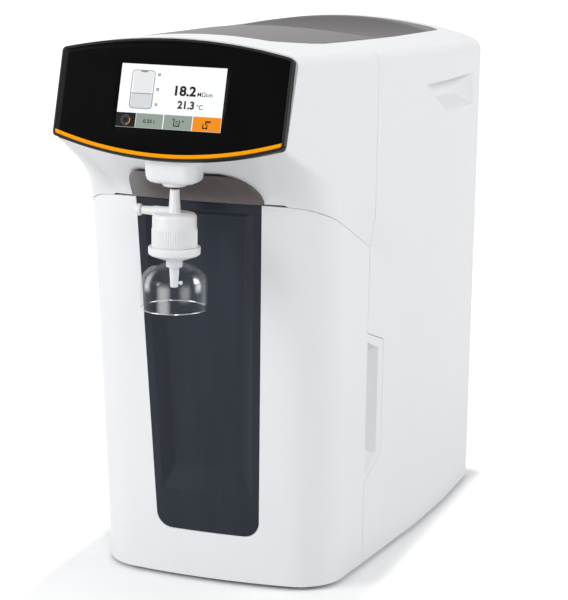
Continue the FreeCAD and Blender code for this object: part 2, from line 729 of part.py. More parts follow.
lid_opening = lid_prism(-LID_GAP)
lid_ledge = roof(WALL - 0.5).cut(roof(WALL + 2.2)).common(lid_prism(-WALL)).cut(lid_prism(LID_LEDGE))
lid_ledge = lid_ledge.cut(roof(0).cut(roof(LID_THICK + FIT)).common(lid_opening))

# hood, with its openings for the dark insert, the outlet and the lid
shell = upper.common(in_front).cut(upper_inside).cut(lower_inside)
shell = shell.cut(display_block(-88, 88, 0, 72, 0, 30))
sleeve_hole = rod(SLEEVE_R + FIT, at_spout(BOSS_LOW - 10), at_spout(SLEEVE_TOP + 30))
hood = shell.cut(lid_opening).cut(insert_prism(0)).fuse(lid_ledge.common(in_front)).cut(sleeve_hole)
right_half = box(0, 200, -400, 400, -past, CROWN_Z + past)
hood_half = hood.common(right_half)
keep("hood_shell", hood_half.fuse(mirrored(hood_half)))
keep("underside_insert", shell.common(insert_prism(FIT)).cut(sleeve_hole))

# outlet boss, its ring and the seal that the filter plugs into
boss = rounded_box(-BOSS_HALF, BOSS_HALF, SPOUT_Y - BOSS_DEPTH, SPOUT_Y + BOSS_DEPTH, BOSS_LOW, BOSS_LOW + 40, 11)
boss = boss.makeFillet(6, [e for e in boss.Edges if e.BoundBox.ZMax < BOSS_LOW + 0.01])
boss = max(boss.cut(upper).Solids, key=lambda part: part.BoundBox.ZMin * -1)
sleeve = rod(SLEEVE_R, at_spout(BOSS_LOW + 1), at_spout(SLEEVE_TOP))
boss = boss.fuse(sleeve).cut(rod(SPIGOT_R + FIT, at_spout(BOSS_LOW - 10), at_spout(SLEEVE_TOP + 10)))
keep("outlet_boss", boss)
keep("outlet_ring", tube(RING_R, COLLAR_R, at_spout(RING_LOW), at_spout(BOSS_LOW)))
keep("outlet_seal", tube(COLLAR_R, SPIGOT_R + FIT, at_spout(COLLAR_LOW), at_spout(BOSS_LOW)))

# ================================================================ display
frame = display_plate(0, 0, DISPLAY_THICK, DISPLAY_CORNER)
frame = frame.cut(display_plate(FRAME_LIP, 1, 1 + PANEL_THICK, DISPLAY_CORNER - FRAME_LIP))
frame = frame.cut(display_block(-GLASS_HALF - FRAME_LIP, GLASS_HALF + FRAME_LIP, GLASS_LOW - FRAME_LIP,
                                GLASS_LOW + GLASS_HIGH + FRAME_LIP, 1, 20))
keep("display_frame", frame)
panel_inset, panel_corner = FRAME_LIP + PANEL_FIT, DISPLAY_CORNER - FRAME_LIP
gloss = display_plate(panel_inset, 0, PANEL_THICK, panel_corner, STRIPE_WIDTH)
gloss = gloss.cut(display_block(-GLASS_HALF, GLASS_HALF, GLASS_LOW, GLASS_LOW + GLASS_HIGH, 1, 20))
keep("display_panel", gloss)
stripe = display_plate(panel_inset, 0, PANEL_THICK, panel_corner)
stripe = stripe.cut(display_plate(-1, 1, PANEL_THICK + 2, 1, FRAME_LIP + STRIPE_WIDTH + 1 + PANEL_FIT))
keep("accent_stripe", max(stripe.Solids, key=lambda part: part.Volume))
glass_top = GLASS_LOW + GLASS_HIGH
keep("touch_glass", display_block(PANEL_FIT - GLASS_HALF, GLASS_HALF - PANEL_FIT, GLASS_LOW + PANEL_FIT,
                                  glass_top - PANEL_FIT, 0, GLASS_THICK))
keep("screen_module", display_block(1 - GLASS_HALF, GLASS_HALF - 1, GLASS_LOW + 1, glass_top - 1, -GLASS_THICK,
                                    MODULE_THICK))
board_out = -GLASS_THICK - MODULE_THICK - MODULE_GAP
board = display_block(-70, 70, 2, 68, board_out, BOARD_THICK)
board = board.fuse(display_block(-30, 30, 20, 50, board_out + CHIP_HIGH, CHIP_HIGH))
posts = []
for u in (-64, 64):
    for v in (8, 62):
        posts.append(rod(2.6, on_display(u, v, -DISPLAY_THICK), on_display(u, v, board_out)))
keep("display_board", board)
keep("display_posts", Part.makeCompound(posts))

# ================================================================ front cover
front = lower.common(in_front).common(door_zone)
door = front.cut(lower_inside).cut(niche_prism(0))
flap_end, grip_end = SEAM_Y + FLAP_REACH, SEAM_Y + FLAP_REACH - GRIP_RIM
flap_outline = [(SEAM_Y - 5, FLAP_LOW - 3), (flap_end, FLAP_LOW + 19), (flap_end, FLAP_HIGH - 13),
                (SEAM_Y - 5, FLAP_HIGH + 2)]
grip_mouth = [(SEAM_Y, FLAP_LOW + 8), (grip_end, FLAP_LOW + 22), (grip_end, FLAP_HIGH - 18), (SEAM_Y, FLAP_HIGH - 8)]
grip_floor = [(SEAM_Y + 1, FLAP_LOW + 12), (grip_end - 2, FLAP_LOW + 24), (grip_end - 2, FLAP_HIGH - 20),
              (SEAM_Y + 1, FLAP_HIGH - 12)]
flap = side_pocket(lower_half, flap_outline, flap_outline, WALL + 1, 0).common(lower).cut(lower_inside)
grip_wall = side_pocket(lower_half, grip_mouth, grip_floor, GRIP_DEEP, WALL - 0.5).common(lower)
grip = side_pocket(lower_half, grip_mouth, grip_floor, GRIP_DEEP, 0)
for piece in (flap, grip_wall):
    door = door.fuse([piece, mirrored(piece)])
door = door.cut([grip, mirrored(grip)])
pin_y = SEAM_Y - 4
bosses, pins, pin_holes = [], [], []
for z in (PIN_LOW, PIN_HIGH):
    block = box(PIN_X - 6, 140, pin_y - 14, pin_y, z - 6, z + 6).common(lower_form(WALL / 2))
    bosses.append(block.cut(rod(PIN_R, V(PIN_X, pin_y - 12, z), V(PIN_X, pin_y + 1, z))))
    pins.append(rod(PIN_R, V(PIN_X, pin_y - 12, z), V(PIN_X, pin_y + PIN_REACH, z)))
    pin_holes.append(rod(PIN_R + 0.1, V(PIN_X, pin_y, z), V(PIN_X, pin_y + 60, z)))
for block in bosses:
    door = door.fuse([block, mirrored(block)])
keep("front_cover", door)
keep("door_pins", Part.makeCompound(pins + [mirrored(p) for p in pins]))
plate = front.common(niche_prism(FIT / 2)).cut(lower_inside)
tray_back = tray_pocket(WALL).common(front).common(niche_prism(FIT / 2))
keep("niche_insert", plate.fuse(tray_back).cut(tray_pocket(0)))

# ================================================================ rear cover
hold_outer = [(HOLD_FRONT_Y + 62, HOLD_LOW + 3), (HOLD_REAR_Y, HOLD_LOW), (HOLD_REAR_Y, HOLD_HIGH - 3),
              (HOLD_FRONT_Y, HOLD_HIGH)]
hold_inner = [(HOLD_FRONT_Y + 42, HOLD_LOW + 17), (HOLD_REAR_Y - 28, HOLD_LOW + 14),
              (HOLD_REAR_Y - 19, HOLD_HIGH - 5), (HOLD_FRONT_Y + 20, HOLD_HIGH - 3)]


def hold_face(y):
    """A flat stand-in for the rounded side, under the hand recess."""
    share = (y - HOLD_FRONT_Y) / (HOLD_REAR_Y - HOLD_FRONT_Y)
    return wide_half(HOLD_FRONT_Y) + share * (SIDE_REAR - wide_half(HOLD_FRONT_Y))


body = upper.fuse(lower).common(behind)
inside = upper_inside.fuse(lower_inside)
rear = body.cut(inside)
panel_y = REAR_Y - PANEL_INSET
panel_zone = box(-PANEL_HALF, PANEL_HALF, panel_y - 5, REAR_Y + 5, PANEL_LOW, PANEL_HIGH)
surround = box(-PANEL_HALF - WALL, PANEL_HALF + WALL, panel_y, REAR_Y - 1, PANEL_LOW - WALL, PANEL_HIGH + WALL)
rear = rear.fuse(surround.common(body)).cut(panel_zone)
rear = rear.cut(lid_opening).fuse(lid_ledge.common(behind))
flap_space = side_pocket(lower_half, flap_outline, flap_outline, WALL + 1, SEAM)
rear = rear.cut([flap_space, mirrored(flap_space)])
hold = side_pocket(hold_face, hold_outer, hold_inner, HOLD_DEEP, 0)
hold_wall = side_pocket(hold_face, hold_outer, hold_inner, HOLD_DEEP, WALL).common(body)
rear = rear.fuse([hold_wall, mirrored(hold_wall)]).cut([hold, mirrored(hold)])
screw_z = BASE_RISE + BASE_THICK + BASE_RIM / 2
screw_places = [(x, screw_z) for x in (-92, -32, 32, 92)]
for x, z in screw_places:
    rear = rear.cut(rod(2.2, V(x, REAR_Y - 20, z), V(x, REAR_Y + 5, z)))
rear_half = rear.common(right_half)
keep("rear_cover", rear_half.fuse(mirrored(rear_half)))
screws = [rod(2.0, V(x, REAR_Y - WALL - 6, z), V(x, REAR_Y, z)).fuse(
    rod(3.8, V(x, REAR_Y, z), V(x, REAR_Y + 2.2, z)).cut(rod(1.3, V(x, REAR_Y + 1, z), V(x, REAR_Y + 3, z))))
    for x, z in screw_places]
keep("cover_screws", Part.makeCompound(screws))

# ================================================================ lid
cap = roof(0).cut(roof(LID_THICK)).common(lid_prism(0)).cut(scoop(0))
dish = scoop(LID_THICK).cut(scoop(0)).common(roof(0)).common(lid_prism(LID_LEDGE + 0.5))
lip_in = lid_prism(LID_LEDGE + 0.5).cut(lid_prism(LID_LEDGE + 2.5))
skirt = roof(1).cut(roof(8)).common(lip_in).cut(scoop(0))
keep("top_lid", cap.fuse([dish, skirt]))

# ================================================================ base and frame
base_top = BASE_RISE + BASE_THICK
inner_form = upper_form(WALL + FIT).fuse(lower_form(WALL + FIT))
rim_form = upper_form(WALL + FIT + RIM_THICK).fuse(lower_form(WALL + FIT + RIM_THICK))
base = inner_form.common(box(-200, 200, -250, 300, BASE_RISE, base_top + BASE_RIM))
base = base.cut(rim_form.common(box(-200, 200, -250, 300, base_top, base_top + BASE_RIM + 1)))
feet_places = [(x, y) for x in (-FOOT_X, FOOT_X) for y in (FOOT_FRONT_Y, FOOT_REAR_Y)]
for x, y in feet_places:
    base = base.cut(rod(2.2, V(x, y, 0), V(x, y, 20)))
for x, z in screw_places:
    base = base.cut(rod(2.0, V(x, REAR_Y - 30, z), V(x, REAR_Y, z)))
keep("base_plate", base)
foot = lathe([(4.5, 0), (FOOT_R, 0), (FOOT_R, 2), (FOOT_R - 2, BASE_RISE), (2.2, BASE_RISE), (2.2, 3), (4.5, 3)])
foot_screw = lathe([(0, 0.8), (4, 0.8), (4, 3), (2.0, 3), (2.0, base_top + 5), (0, base_top + 5)])
nut = lathe([(2.1, base_top), (4.2, base_top), (4.2, base_top + 3.2), (2.1, base_top + 3.2)])


def placed(shape, places):
    copies = []
    for x, y in places:
        copy = shape.copy()
        copy.translate(V(x, y, 0))
        copies.append(copy)
    return Part.makeCompound(copies)


keep("feet", placed(foot, feet_places))
keep("foot_screws", placed(foot_screw.fuse(nut), feet_places))

bulkhead_front = BULKHEAD_Y - FRAME_SHEET
ears = [box(-EAR_HALF, EAR_HALF, bulkhead_front, BULKHEAD_Y, z - 14, z + 14) for z in (PIN_LOW, PIN_HIGH)]
bulkhead = box(-FRAME_HALF, FRAME_HALF, bulkhead_front, BULKHEAD_Y, base_top, FRAME_HIGH).fuse(ears)
bulkhead = bulkhead.fuse(box(-FRAME_HALF + 4, FRAME_HALF - 4, BULKHEAD_Y, BULKHEAD_Y + 14, base_top, base_top + 2))
bulkhead = bulkhead.cut(pin_holes + [mirrored(h) for h in pin_holes])

side_rear = panel_y - PANEL_SHEET
side = box(FRAME_HALF - FRAME_SHEET, FRAME_HALF, BULKHEAD_Y, side_rear, base_top, FRAME_HIGH)
window_cut = box(FRAME_HALF - 20, FRAME_HALF + 20, -30, 190, 40, BOARD_LOW - 14)
side = side.cut(window_cut)
flange = box(FRAME_HALF - 22, FRAME_HALF, BULKHEAD_Y, side_rear, FRAME_HIGH - FRAME_SHEET, FRAME_HIGH)
foot_flange = box(FRAME_HALF - 14, FRAME_HALF, BULKHEAD_Y + 16, 200, base_top, base_top + FRAME_SHEET)
panel_flange = box(FRAME_HALF - 12, FRAME_HALF, side_rear - FRAME_SHEET, side_rear, 30, FRAME_HIGH)
side = side.fuse([flange, foot_flange, panel_flange])

# ================================================================ rear panel
panel = box(-PANEL_HALF - WALL, PANEL_HALF + WALL, panel_y - PANEL_SHEET, panel_y, PANEL_LOW - WALL, PANEL_HIGH + WALL)
for i in range(VENT_COUNT):
    z = PANEL_HIGH - 26 - i * VENT_PITCH
    for x in (-45, 45):
        slot = rounded_box(x - VENT_LENGTH / 2, x + VENT_LENGTH / 2, 0, VENT_SLOT, 0, 10, VENT_SLOT / 2 - 0.01)
        slot.rotate(V(0, 0, 0), V(1, 0, 0), 90)
        slot.translate(V(0, panel_y + 4, z))
        panel = panel.cut(slot)
inlet_face = panel_y + 3.0
body_low, body_high = INLET_Z - INLET_LOW + 4, INLET_Z + INLET_HIGH - 4
body_half = INLET_HALF - 4
panel = panel.cut(box(INLET_X - body_half - FIT, INLET_X + body_half + FIT, panel_y - 5, panel_y + 5,
                      body_low - FIT, body_high + FIT))
ports = [V(PORT_X, panel_y, FEED_Z), V(PORT_X, panel_y, DRAIN_Z)]
for p in ports:
    panel = panel.cut(rod(PORT_R, p - V(0, 5, 0), p + V(0, 5, 0)))
keep("rear_panel", panel)

inlet = box(INLET_X - INLET_HALF, INLET_X + INLET_HALF, panel_y, inlet_face, INLET_Z - INLET_LOW, INLET_Z + INLET_HIGH)
inlet = inlet.makeFillet(4, [e for e in inlet.Edges if abs(e.tangentAt(e.FirstParameter).y) > 0.9])
inlet = inlet.fuse(box(INLET_X - body_half, INLET_X + body_half, panel_y - 28, panel_y, body_low, body_high))
w, h = SOCKET_WIDE / 2, SOCKET_HIGH / 2
socket_outline = [(-w, -h), (w, -h), (w, h - 6), (w - 6, h), (6 - w, h), (-w, h - 6)]
socket = face_of([V(INLET_X + x, inlet_face + 1, INLET_Z + z) for x, z in socket_outline])
inlet = inlet.cut(socket.extrude(V(0, -SOCKET_DEEP - 1, 0)))
rocker_z = INLET_Z + ROCKER_RISE
drawer_z = INLET_Z - DRAWER_DROP
inlet = inlet.cut(box(INLET_X - ROCKER_WIDE / 2, INLET_X + ROCKER_WIDE / 2, inlet_face - 12, inlet_face + 1,
                      rocker_z - ROCKER_HIGH / 2, rocker_z + ROCKER_HIGH / 2))
inlet = inlet.cut(box(INLET_X - DRAWER_WIDE / 2, INLET_X + DRAWER_WIDE / 2, inlet_face - DRAWER_LONG, inlet_face + 1,
                      drawer_z - DRAWER_HIGH / 2, drawer_z + DRAWER_HIGH / 2))
keep("power_inlet", inlet)
blades = []
for x, z in ((-7, -2), (7, -2), (0, 2)):
    blades.append(box(INLET_X + x - 1, INLET_X + x + 1, inlet_face - SOCKET_DEEP, inlet_face - 3,
                      INLET_Z + z - 2, INLET_Z + z + 2))
keep("inlet_pins", Part.makeCompound(blades))

# rocker switch: a drum on its pivot with a shallow V face
rocker_axis = V(INLET_X, inlet_face - 1, rocker_z)
half_wide = ROCKER_WIDE / 2 - FIT
drum_r = ROCKER_HIGH / 2 - FIT
drum = rod(drum_r, rocker_axis - V(half_wide, 0, 0), rocker_axis + V(half_wide, 0, 0))
for turn in (0, ROCKER_TRAVEL):
    trim = box(INLET_X - 20, INLET_X + 20, rocker_axis.y + 2.2, rocker_axis.y + 20, rocker_z - 20, rocker_z + 20)
    trim.rotate(rocker_axis, V(1, 0, 0), turn)
    drum = drum.cut(trim)
keep("power_rocker", drum)
drawer = box(INLET_X - DRAWER_WIDE / 2 + FIT, INLET_X + DRAWER_WIDE / 2 - FIT, inlet_face - DRAWER_LONG + 1,
             inlet_face + 1.2, drawer_z - DRAWER_HIGH / 2 + FIT, drawer_z + DRAWER_HIGH / 2 - FIT)
drawer = drawer.cut(box(INLET_X - 8, INLET_X + 8, inlet_face - DRAWER_LONG + 3, inlet_face - 4,
                        drawer_z - 2.8, drawer_z + 20))
drawer = drawer.cut(box(INLET_X - 4, INLET_X + 4, inlet_face + 0.2, inlet_face + 5, drawer_z - 1, drawer_z + 1))
keep("fuse_drawer", drawer)

fittings, nuts = [], []
for p in ports:
    body_part = rod(PORT_R - 0.1, p - V(0, 18, 0), p + V(0, 12, 0)).fuse(rod(PORT_R - 2, p, p + V(0, 17, 0)))
    fittings.append(body_part.cut(rod(3.3, p - V(0, 30, 0), p + V(0, 30, 0))))
    for start, way in ((p, V(0, 1, 0)), (p - V(0, PANEL_SHEET, 0), V(0, -1, 0))):
        nuts.append(hexagon(NUT_AF, start, way, NUT_THICK).cut(rod(PORT_R, start - way * 2, start + way * 20)))
keep("feed_fitting", fittings[0])
keep("drain_fitting", fittings[1])
keep("fitting_nuts", Part.makeCompound(nuts))
panel_screws = []
for x in (-FRAME_HALF + 6, FRAME_HALF - 6):
    for z in (PANEL_LOW + 16, PANEL_HIGH - 10):
        p = V(x, panel_y, z)
        panel_screws.append(rod(3.4, p, p + V(0, 1.8, 0)).fuse(rod(1.6, p - V(0, 6, 0), p)))
screw_set = Part.makeCompound(panel_screws)
NODES["rear_panel"] = NODES["rear_panel"].cut(screw_set)
keep("panel_screws", screw_set)
side = side.cut(screw_set)

# ================================================================ final filter
rib_count, rib_high = 40, 15.0
stem = [(0, SPIGOT_HIGH), (SPIGOT_R, SPIGOT_HIGH), (SPIGOT_R, COLLAR_LOW - 0.5), (3.8, COLLAR_LOW - 0.5),
        (5.1, CAPSULE_TOP), (CAPSULE_R - 3.2, CAPSULE_TOP - 0.4), (CAPSULE_R - 1, CAPSULE_TOP - 1.6),
        (CAPSULE_R, CAPSULE_TOP - 4.2), (CAPSULE_R, FLANGE_TOP), (0, FLANGE_TOP)]
capsule = lathe(stem, 0, SPOUT_Y)
ribs = []
for i in range(rib_count):
    rib = box(CAPSULE_R - 0.6, CAPSULE_R + 0.45, -0.55, 0.55, FLANGE_TOP, FLANGE_TOP + rib_high)
    rib.rotate(V(0, 0, 0), V(0, 0, 1), 360 / rib_count * i)
    rib.translate(V(0, SPOUT_Y, 0))
    ribs.append(rib)
capsule = capsule.fuse(ribs)
arm_end = 1 - VENT_REACH + 7
arm = rod(VENT_R, V(0, SPOUT_Y, VENT_Z), V(arm_end, SPOUT_Y, VENT_Z))
arm = arm.fuse(rod(VENT_R + 0.5, V(-20, SPOUT_Y, VENT_Z), V(-15, SPOUT_Y, VENT_Z)))
capsule = capsule.fuse(arm)
capsule = capsule.cut(lathe([(0, FLANGE_TOP), (CAPSULE_R - 2, FLANGE_TOP), (CAPSULE_R - 2, CAPSULE_TOP - 8),
                             (CAPSULE_R - 6, CAPSULE_TOP - 5), (0, CAPSULE_TOP - 5)], 0, SPOUT_Y))
capsule = capsule.cut(rod(1.3, at_spout(FLANGE_TOP), at_spout(SPIGOT_HIGH + 1)))
keep("filter_capsule_top", capsule)
base_profile = [(0, FLANGE_TOP), (FLANGE_R - 0.8, FLANGE_TOP), (FLANGE_R, FLANGE_TOP - 0.8), (FLANGE_R, FLANGE_LOW + 1.2),
                (FLANGE_R - 1.2, FLANGE_LOW), (NECK_R + 1.5, NECK_LOW + 6.4), (NECK_R, NECK_LOW + 5.6),
                (NECK_R, NECK_LOW), (0, NECK_LOW)]
base_half = lathe(base_profile, 0, SPOUT_Y)
membrane_r = CAPSULE_R - 2.5
bed_deep = 1.6
base_half = base_half.cut(rod(membrane_r + 0.2, at_spout(FLANGE_TOP - bed_deep), at_spout(FLANGE_TOP)))
base_half = base_half.cut(rod(2.0, at_spout(NECK_LOW - 1), at_spout(FLANGE_TOP)))
keep("filter_capsule_base", base_half)
keep("filter_membrane", rod(membrane_r, at_spout(FLANGE_TOP - bed_deep), at_spout(FLANGE_TOP)))
nozzle = lathe([(2.0, NECK_LOW), (NOZZLE_R, NECK_LOW), (NOZZLE_R - 0.8, NOZZLE_LOW), (2.0, NOZZLE_LOW)], 0, SPOUT_Y)
nib = rod(1.0, V(NOZZLE_R - 1.4, SPOUT_Y, NOZZLE_LOW + 4), V(NOZZLE_R + 2.8, SPOUT_Y, NOZZLE_LOW + 4.6))
keep("outlet_nozzle", nozzle.fuse(nib))


def bell_outline(grow, low):
    """(radius, height) points of the bell's outside or inside, from its axis down to a height."""
    r, rise = BELL_R - grow, BELL_DOME - grow
    dome = []
    for turn in (72, 58, 44, 30, 16, 0):
        a = math.radians(turn)
        dome.append((r * math.cos(a), BELL_TOP - BELL_DOME + rise * math.sin(a)))
    return [(0, BELL_TOP - grow), (NECK_R + 1, BELL_TOP - grow)] + dome + [(r, low), (0, low)]


bell_rim = BELL_TOP - BELL_HIGH
bell = lathe(bell_outline(0, bell_rim), 0, SPOUT_Y).cut(lathe(bell_outline(BELL_WALL, bell_rim - 1), 0, SPOUT_Y))
bell = bell.fuse(rod(NECK_R + 1.6, at_spout(NECK_LOW + 0.5), at_spout(BELL_TOP)))
bell = bell.cut(rod(NECK_R + 0.05, at_spout(NECK_LOW - 5), at_spout(BELL_TOP + 5)))
keep("filling_bell", bell)
knob_start = arm_end - FIT
knob = rod(VENT_WHEEL_R - 0.8, V(knob_start, SPOUT_Y, VENT_Z), V(-VENT_REACH - 1, SPOUT_Y, VENT_Z))
knob_ribs = []
for i in range(8):
    rib = box(-VENT_REACH - 1 + 0.6, knob_start - 1.2, -0.9, 0.9, 0, VENT_WHEEL_R)
    rib.rotate(V(0, 0, 0), V(1, 0, 0), 45 * i)
    rib.translate(V(0, SPOUT_Y, VENT_Z))
    knob_ribs.append(rib)
keep("vent_wheel", knob.fuse(knob_ribs))

# ================================================================ storage bag and its tub
tub_low = FRAME_HIGH
tub = rounded_box(-TUB_HALF - TUB_WALL, TUB_HALF + TUB_WALL, TUB_FRONT_Y - TUB_WALL, TUB_REAR_Y + TUB_WALL,
                  tub_low, TUB_HIGH, 20)
tub = tub.cut(rounded_box(-TUB_HALF, TUB_HALF, TUB_FRONT_Y, TUB_REAR_Y, tub_low + TUB_WALL, TUB_HIGH + 1, 17.5))
overflow = V(72, TUB_REAR_Y - 26, tub_low)
tub = tub.fuse(rod(HOSE_R, overflow - V(0, 0, 12), overflow)).cut(rod(HOSE_BORE, overflow - V(0, 0, 20),
                                                                     overflow + V(0, 0, 10)))
tub = tub.cut(rod(COUPLING_R, V(0, COUPLING_Y, tub_low - 1), V(0, COUPLING_Y, tub_low + 20)))
keep("bag_tub", tub)
bag_low = tub_low + TUB_WALL
bag = box(-TUB_HALF + 5, TUB_HALF - 5, TUB_FRONT_Y + 6, TUB_REAR_Y - 8, bag_low, bag_low + BAG_HIGH)
keep("storage_bag", bag.makeFillet(22, bag.Edges))
coupling_y = COUPLING_Y
coupling = lathe([(3, bag_low), (COUPLING_R - FIT, bag_low), (COUPLING_R - FIT, tub_low), (COUPLING_R + 5, tub_low),
                  (COUPLING_R + 5, tub_low - 3), (COUPLING_R, tub_low - 3), (COUPLING_R, tub_low - 18),
                  (HOSE_R, tub_low - 20), (HOSE_R, tub_low - 30), (3, tub_low - 30)], 0, coupling_y)
side_barb_z = tub_low - 11
coupling = coupling.fuse(rod(HOSE_R, V(COUPLING_R - 2, coupling_y, side_barb_z), V(24, coupling_y, side_barb_z)))
keep("bag_coupling", coupling)

# ================================================================ cartridges and their dock
dock = rounded_box(-DOCK_HALF, DOCK_HALF, DOCK_FRONT_Y, bulkhead_front, DOCK_LOW, DOCK_HIGH, 10)
cartridge = [(0, base_top), (CARTRIDGE_R - 4, base_top), (CARTRIDGE_R, base_top + 5),
             (CARTRIDGE_R, CARTRIDGE_HIGH - 22), (CARTRIDGE_R - 9, CARTRIDGE_HIGH - 6),
             (CARTRIDGE_NECK_R, CARTRIDGE_HIGH), (CARTRIDGE_NECK_R, DOCK_LOW + SOCKET_SINK), (0, DOCK_LOW + SOCKET_SINK)]
for name, x in (("cartridge_a", -CARTRIDGE_X), ("cartridge_b", CARTRIDGE_X)):
    keep(name, lathe(cartridge, x, CARTRIDGE_Y))
    dock = dock.cut(rod(CARTRIDGE_NECK_R + FIT, V(x, CARTRIDGE_Y, DOCK_LOW - 1),
                        V(x, CARTRIDGE_Y, DOCK_LOW + SOCKET_SINK + FIT)))
inlet_barb = V(PUMP_X + 12, bulkhead_front, (DOCK_LOW + DOCK_HIGH) / 2)
dock = dock.fuse(rod(HOSE_R, inlet_barb - V(0, 4, 0), inlet_barb + V(0, 14, 0)))
cell_y = bulkhead_front - CELL_R
dock = dock.fuse(rod(HOSE_R, V(CELL_X, cell_y, DOCK_HIGH - 2), V(CELL_X, cell_y, DOCK_HIGH + 8)))
keep("cartridge_dock", dock)
bulkhead = bulkhead.cut(rod(HOSE_R + 1.5, inlet_barb - V(0, 5, 0), inlet_barb + V(0, 10, 0)))
keep("bulkhead", bulkhead)
keep("side_frames", both_sides(side))
cell_low = DOCK_HIGH + 8
cell_high = cell_low + CELL_LONG
cell = rod(CELL_R, V(CELL_X, cell_y, cell_low), V(CELL_X, cell_y, cell_high))
cell = cell.fuse(rod(HOSE_R, V(CELL_X, cell_y, cell_high), V(CELL_X, cell_y, cell_high + 10)))
keep("conductivity_cell", cell)

# ================================================================ pump
head_rear = PUMP_FRONT_Y + HEAD_LONG
pump_head = rounded_box(PUMP_X - 22, PUMP_X + 22, PUMP_FRONT_Y, head_rear, PUMP_Z - 23, PUMP_Z + 23, 5)
head_top = PUMP_Z + 23
barb_y = PUMP_FRONT_Y + HEAD_LONG / 2
suction, outflow = V(PUMP_X - 12, barb_y, head_top), V(PUMP_X + 12, barb_y, head_top)
for p in (suction, outflow):
    pump_head = pump_head.fuse(rod(HOSE_R, p - V(0, 0, 3), p + V(0, 0, 12)))
keep("pump_head", pump_head)
plate_rear = head_rear + FRAME_SHEET
bracket = box(PUMP_X - 28, PUMP_X + 28, head_rear, plate_rear, base_top, PUMP_Z + 27)
bracket = bracket.fuse(box(PUMP_X - 28, PUMP_X + 28, head_rear, plate_rear + 50, base_top, base_top + FRAME_SHEET))
bracket = bracket.fuse(box(PUMP_X - 12, PUMP_X + 12, plate_rear + 36, plate_rear + 40, base_top, PUMP_Z - MOTOR_R + 3))
motor = rod(MOTOR_R, V(PUMP_X, plate_rear, PUMP_Z), V(PUMP_X, plate_rear + MOTOR_LONG, PUMP_Z))
motor = motor.fuse(rod(9, V(PUMP_X, plate_rear + MOTOR_LONG, PUMP_Z), V(PUMP_X, plate_rear + MOTOR_LONG + 4, PUMP_Z)))
keep("pump_bracket", bracket.cut(motor))
keep("pump_motor", motor)

# ================================================================ valves
feed_face = panel_y - 18
feed_valve = box(PORT_X - 13, PORT_X + 13, feed_face - 24, feed_face, FEED_Z - 13, FEED_Z + 13)
feed_valve = feed_valve.fuse(rod(10, V(PORT_X, feed_face - 12, FEED_Z + 13), V(PORT_X, feed_face - 12, FEED_Z + 33)))
feed_valve = feed_valve.fuse(rod(HOSE_R, V(PORT_X, feed_face - 36, FEED_Z), V(PORT_X, feed_face - 22, FEED_Z)))
keep("feed_valve", feed_valve)
valve_front, valve_rear = SPOUT_Y - SLEEVE_R + 1.5, SPOUT_Y + 15.5
valve = box(-VALVE_HALF, VALVE_HALF, valve_front, valve_rear, SLEEVE_TOP, SLEEVE_TOP + VALVE_HIGH)
valve_z = SLEEVE_TOP + VALVE_HIGH / 2
valve = valve.fuse(rod(9, V(VALVE_HALF, SPOUT_Y + 5, valve_z), V(VALVE_HALF + 26, SPOUT_Y + 5, valve_z)))
valve = valve.fuse(rod(HOSE_R, V(0, valve_rear - 2, valve_z), V(0, valve_rear + 10, valve_z)))
keep("outlet_valve", valve)

# ================================================================ electrics
supply = box(SUPPLY_X - SUPPLY_HALF, SUPPLY_X + SUPPLY_HALF, SUPPLY_FRONT_Y, SUPPLY_FRONT_Y + SUPPLY_LONG,
             base_top, base_top + SUPPLY_HIGH)
for i in range(9):
    y = SUPPLY_FRONT_Y + 14 + i * 10
    supply = supply.cut(box(SUPPLY_X - SUPPLY_HALF + 10, SUPPLY_X + SUPPLY_HALF - 10, y, y + 4,
                            base_top + SUPPLY_HIGH - 2, base_top + SUPPLY_HIGH + 1))
keep("power_supply", supply)
board_x = FRAME_SHEET - FRAME_HALF + STANDOFF
main = box(board_x, board_x + BOARD_THICK, BOARD_FRONT_Y, BOARD_FRONT_Y + BOARD_LONG, BOARD_LOW, BOARD_LOW + BOARD_TALL)
face_x = board_x + BOARD_THICK
for y, z, dy, dz, tall in ((16, 18, 40, 24, 16), (70, 22, 22, 22, 20), (104, 20, 40, 40, 6), (20, 70, 30, 30, 3),
                           (66, 80, 66, 14, 10), (18, 122, 124, 12, 9)):
    main = main.fuse(box(face_x - 0.5, face_x + tall, BOARD_FRONT_Y + y, BOARD_FRONT_Y + y + dy,
                         BOARD_LOW + z, BOARD_LOW + z + dz))
standoffs = []
for y in (BOARD_FRONT_Y + 6, BOARD_FRONT_Y + BOARD_LONG - 6):
    for z in (BOARD_LOW + 6, BOARD_LOW + BOARD_TALL - 6):
        standoffs.append(rod(3, V(board_x - STANDOFF, y, z), V(board_x, y, z)))
keep("main_board", main)
keep("board_standoffs", Part.makeCompound(standoffs))

# ================================================================ hoses
barb_end = V(0, coupling_y, tub_low - 30)
pump_route = [barb_end, V(0, coupling_y, 230), V(suction.x, suction.y, 170), suction + V(0, 0, 12)]
keep("pump_hose", hose(pump_route, HOSE_R))
dock_barb = inlet_barb + V(0, 14, 0)
dock_turn = V(dock_barb.x, barb_y, dock_barb.z)
keep("cartridge_hose", hose([outflow + V(0, 0, 12), dock_turn, dock_barb], HOSE_R))
feed_start = V(PORT_X, feed_face - 36, FEED_Z)
feed_turn = V(PORT_X, feed_start.y - 40, FEED_Z)
keep("feed_hose", hose([feed_start, feed_turn, V(PORT_X, feed_turn.y, side_barb_z), V(PORT_X, coupling_y, side_barb_z),
                        V(24, coupling_y, side_barb_z)], HOSE_R))
drain_end = V(PORT_X, feed_face, DRAIN_Z)
drain_start = overflow - V(0, 0, 12)
keep("drain_hose", hose([drain_start, V(drain_start.x, drain_start.y, 170), V(PORT_X, drain_start.y - 6, DRAIN_Z),
                         drain_end], HOSE_R))
cell_top = V(CELL_X, cell_y, cell_high + 10)
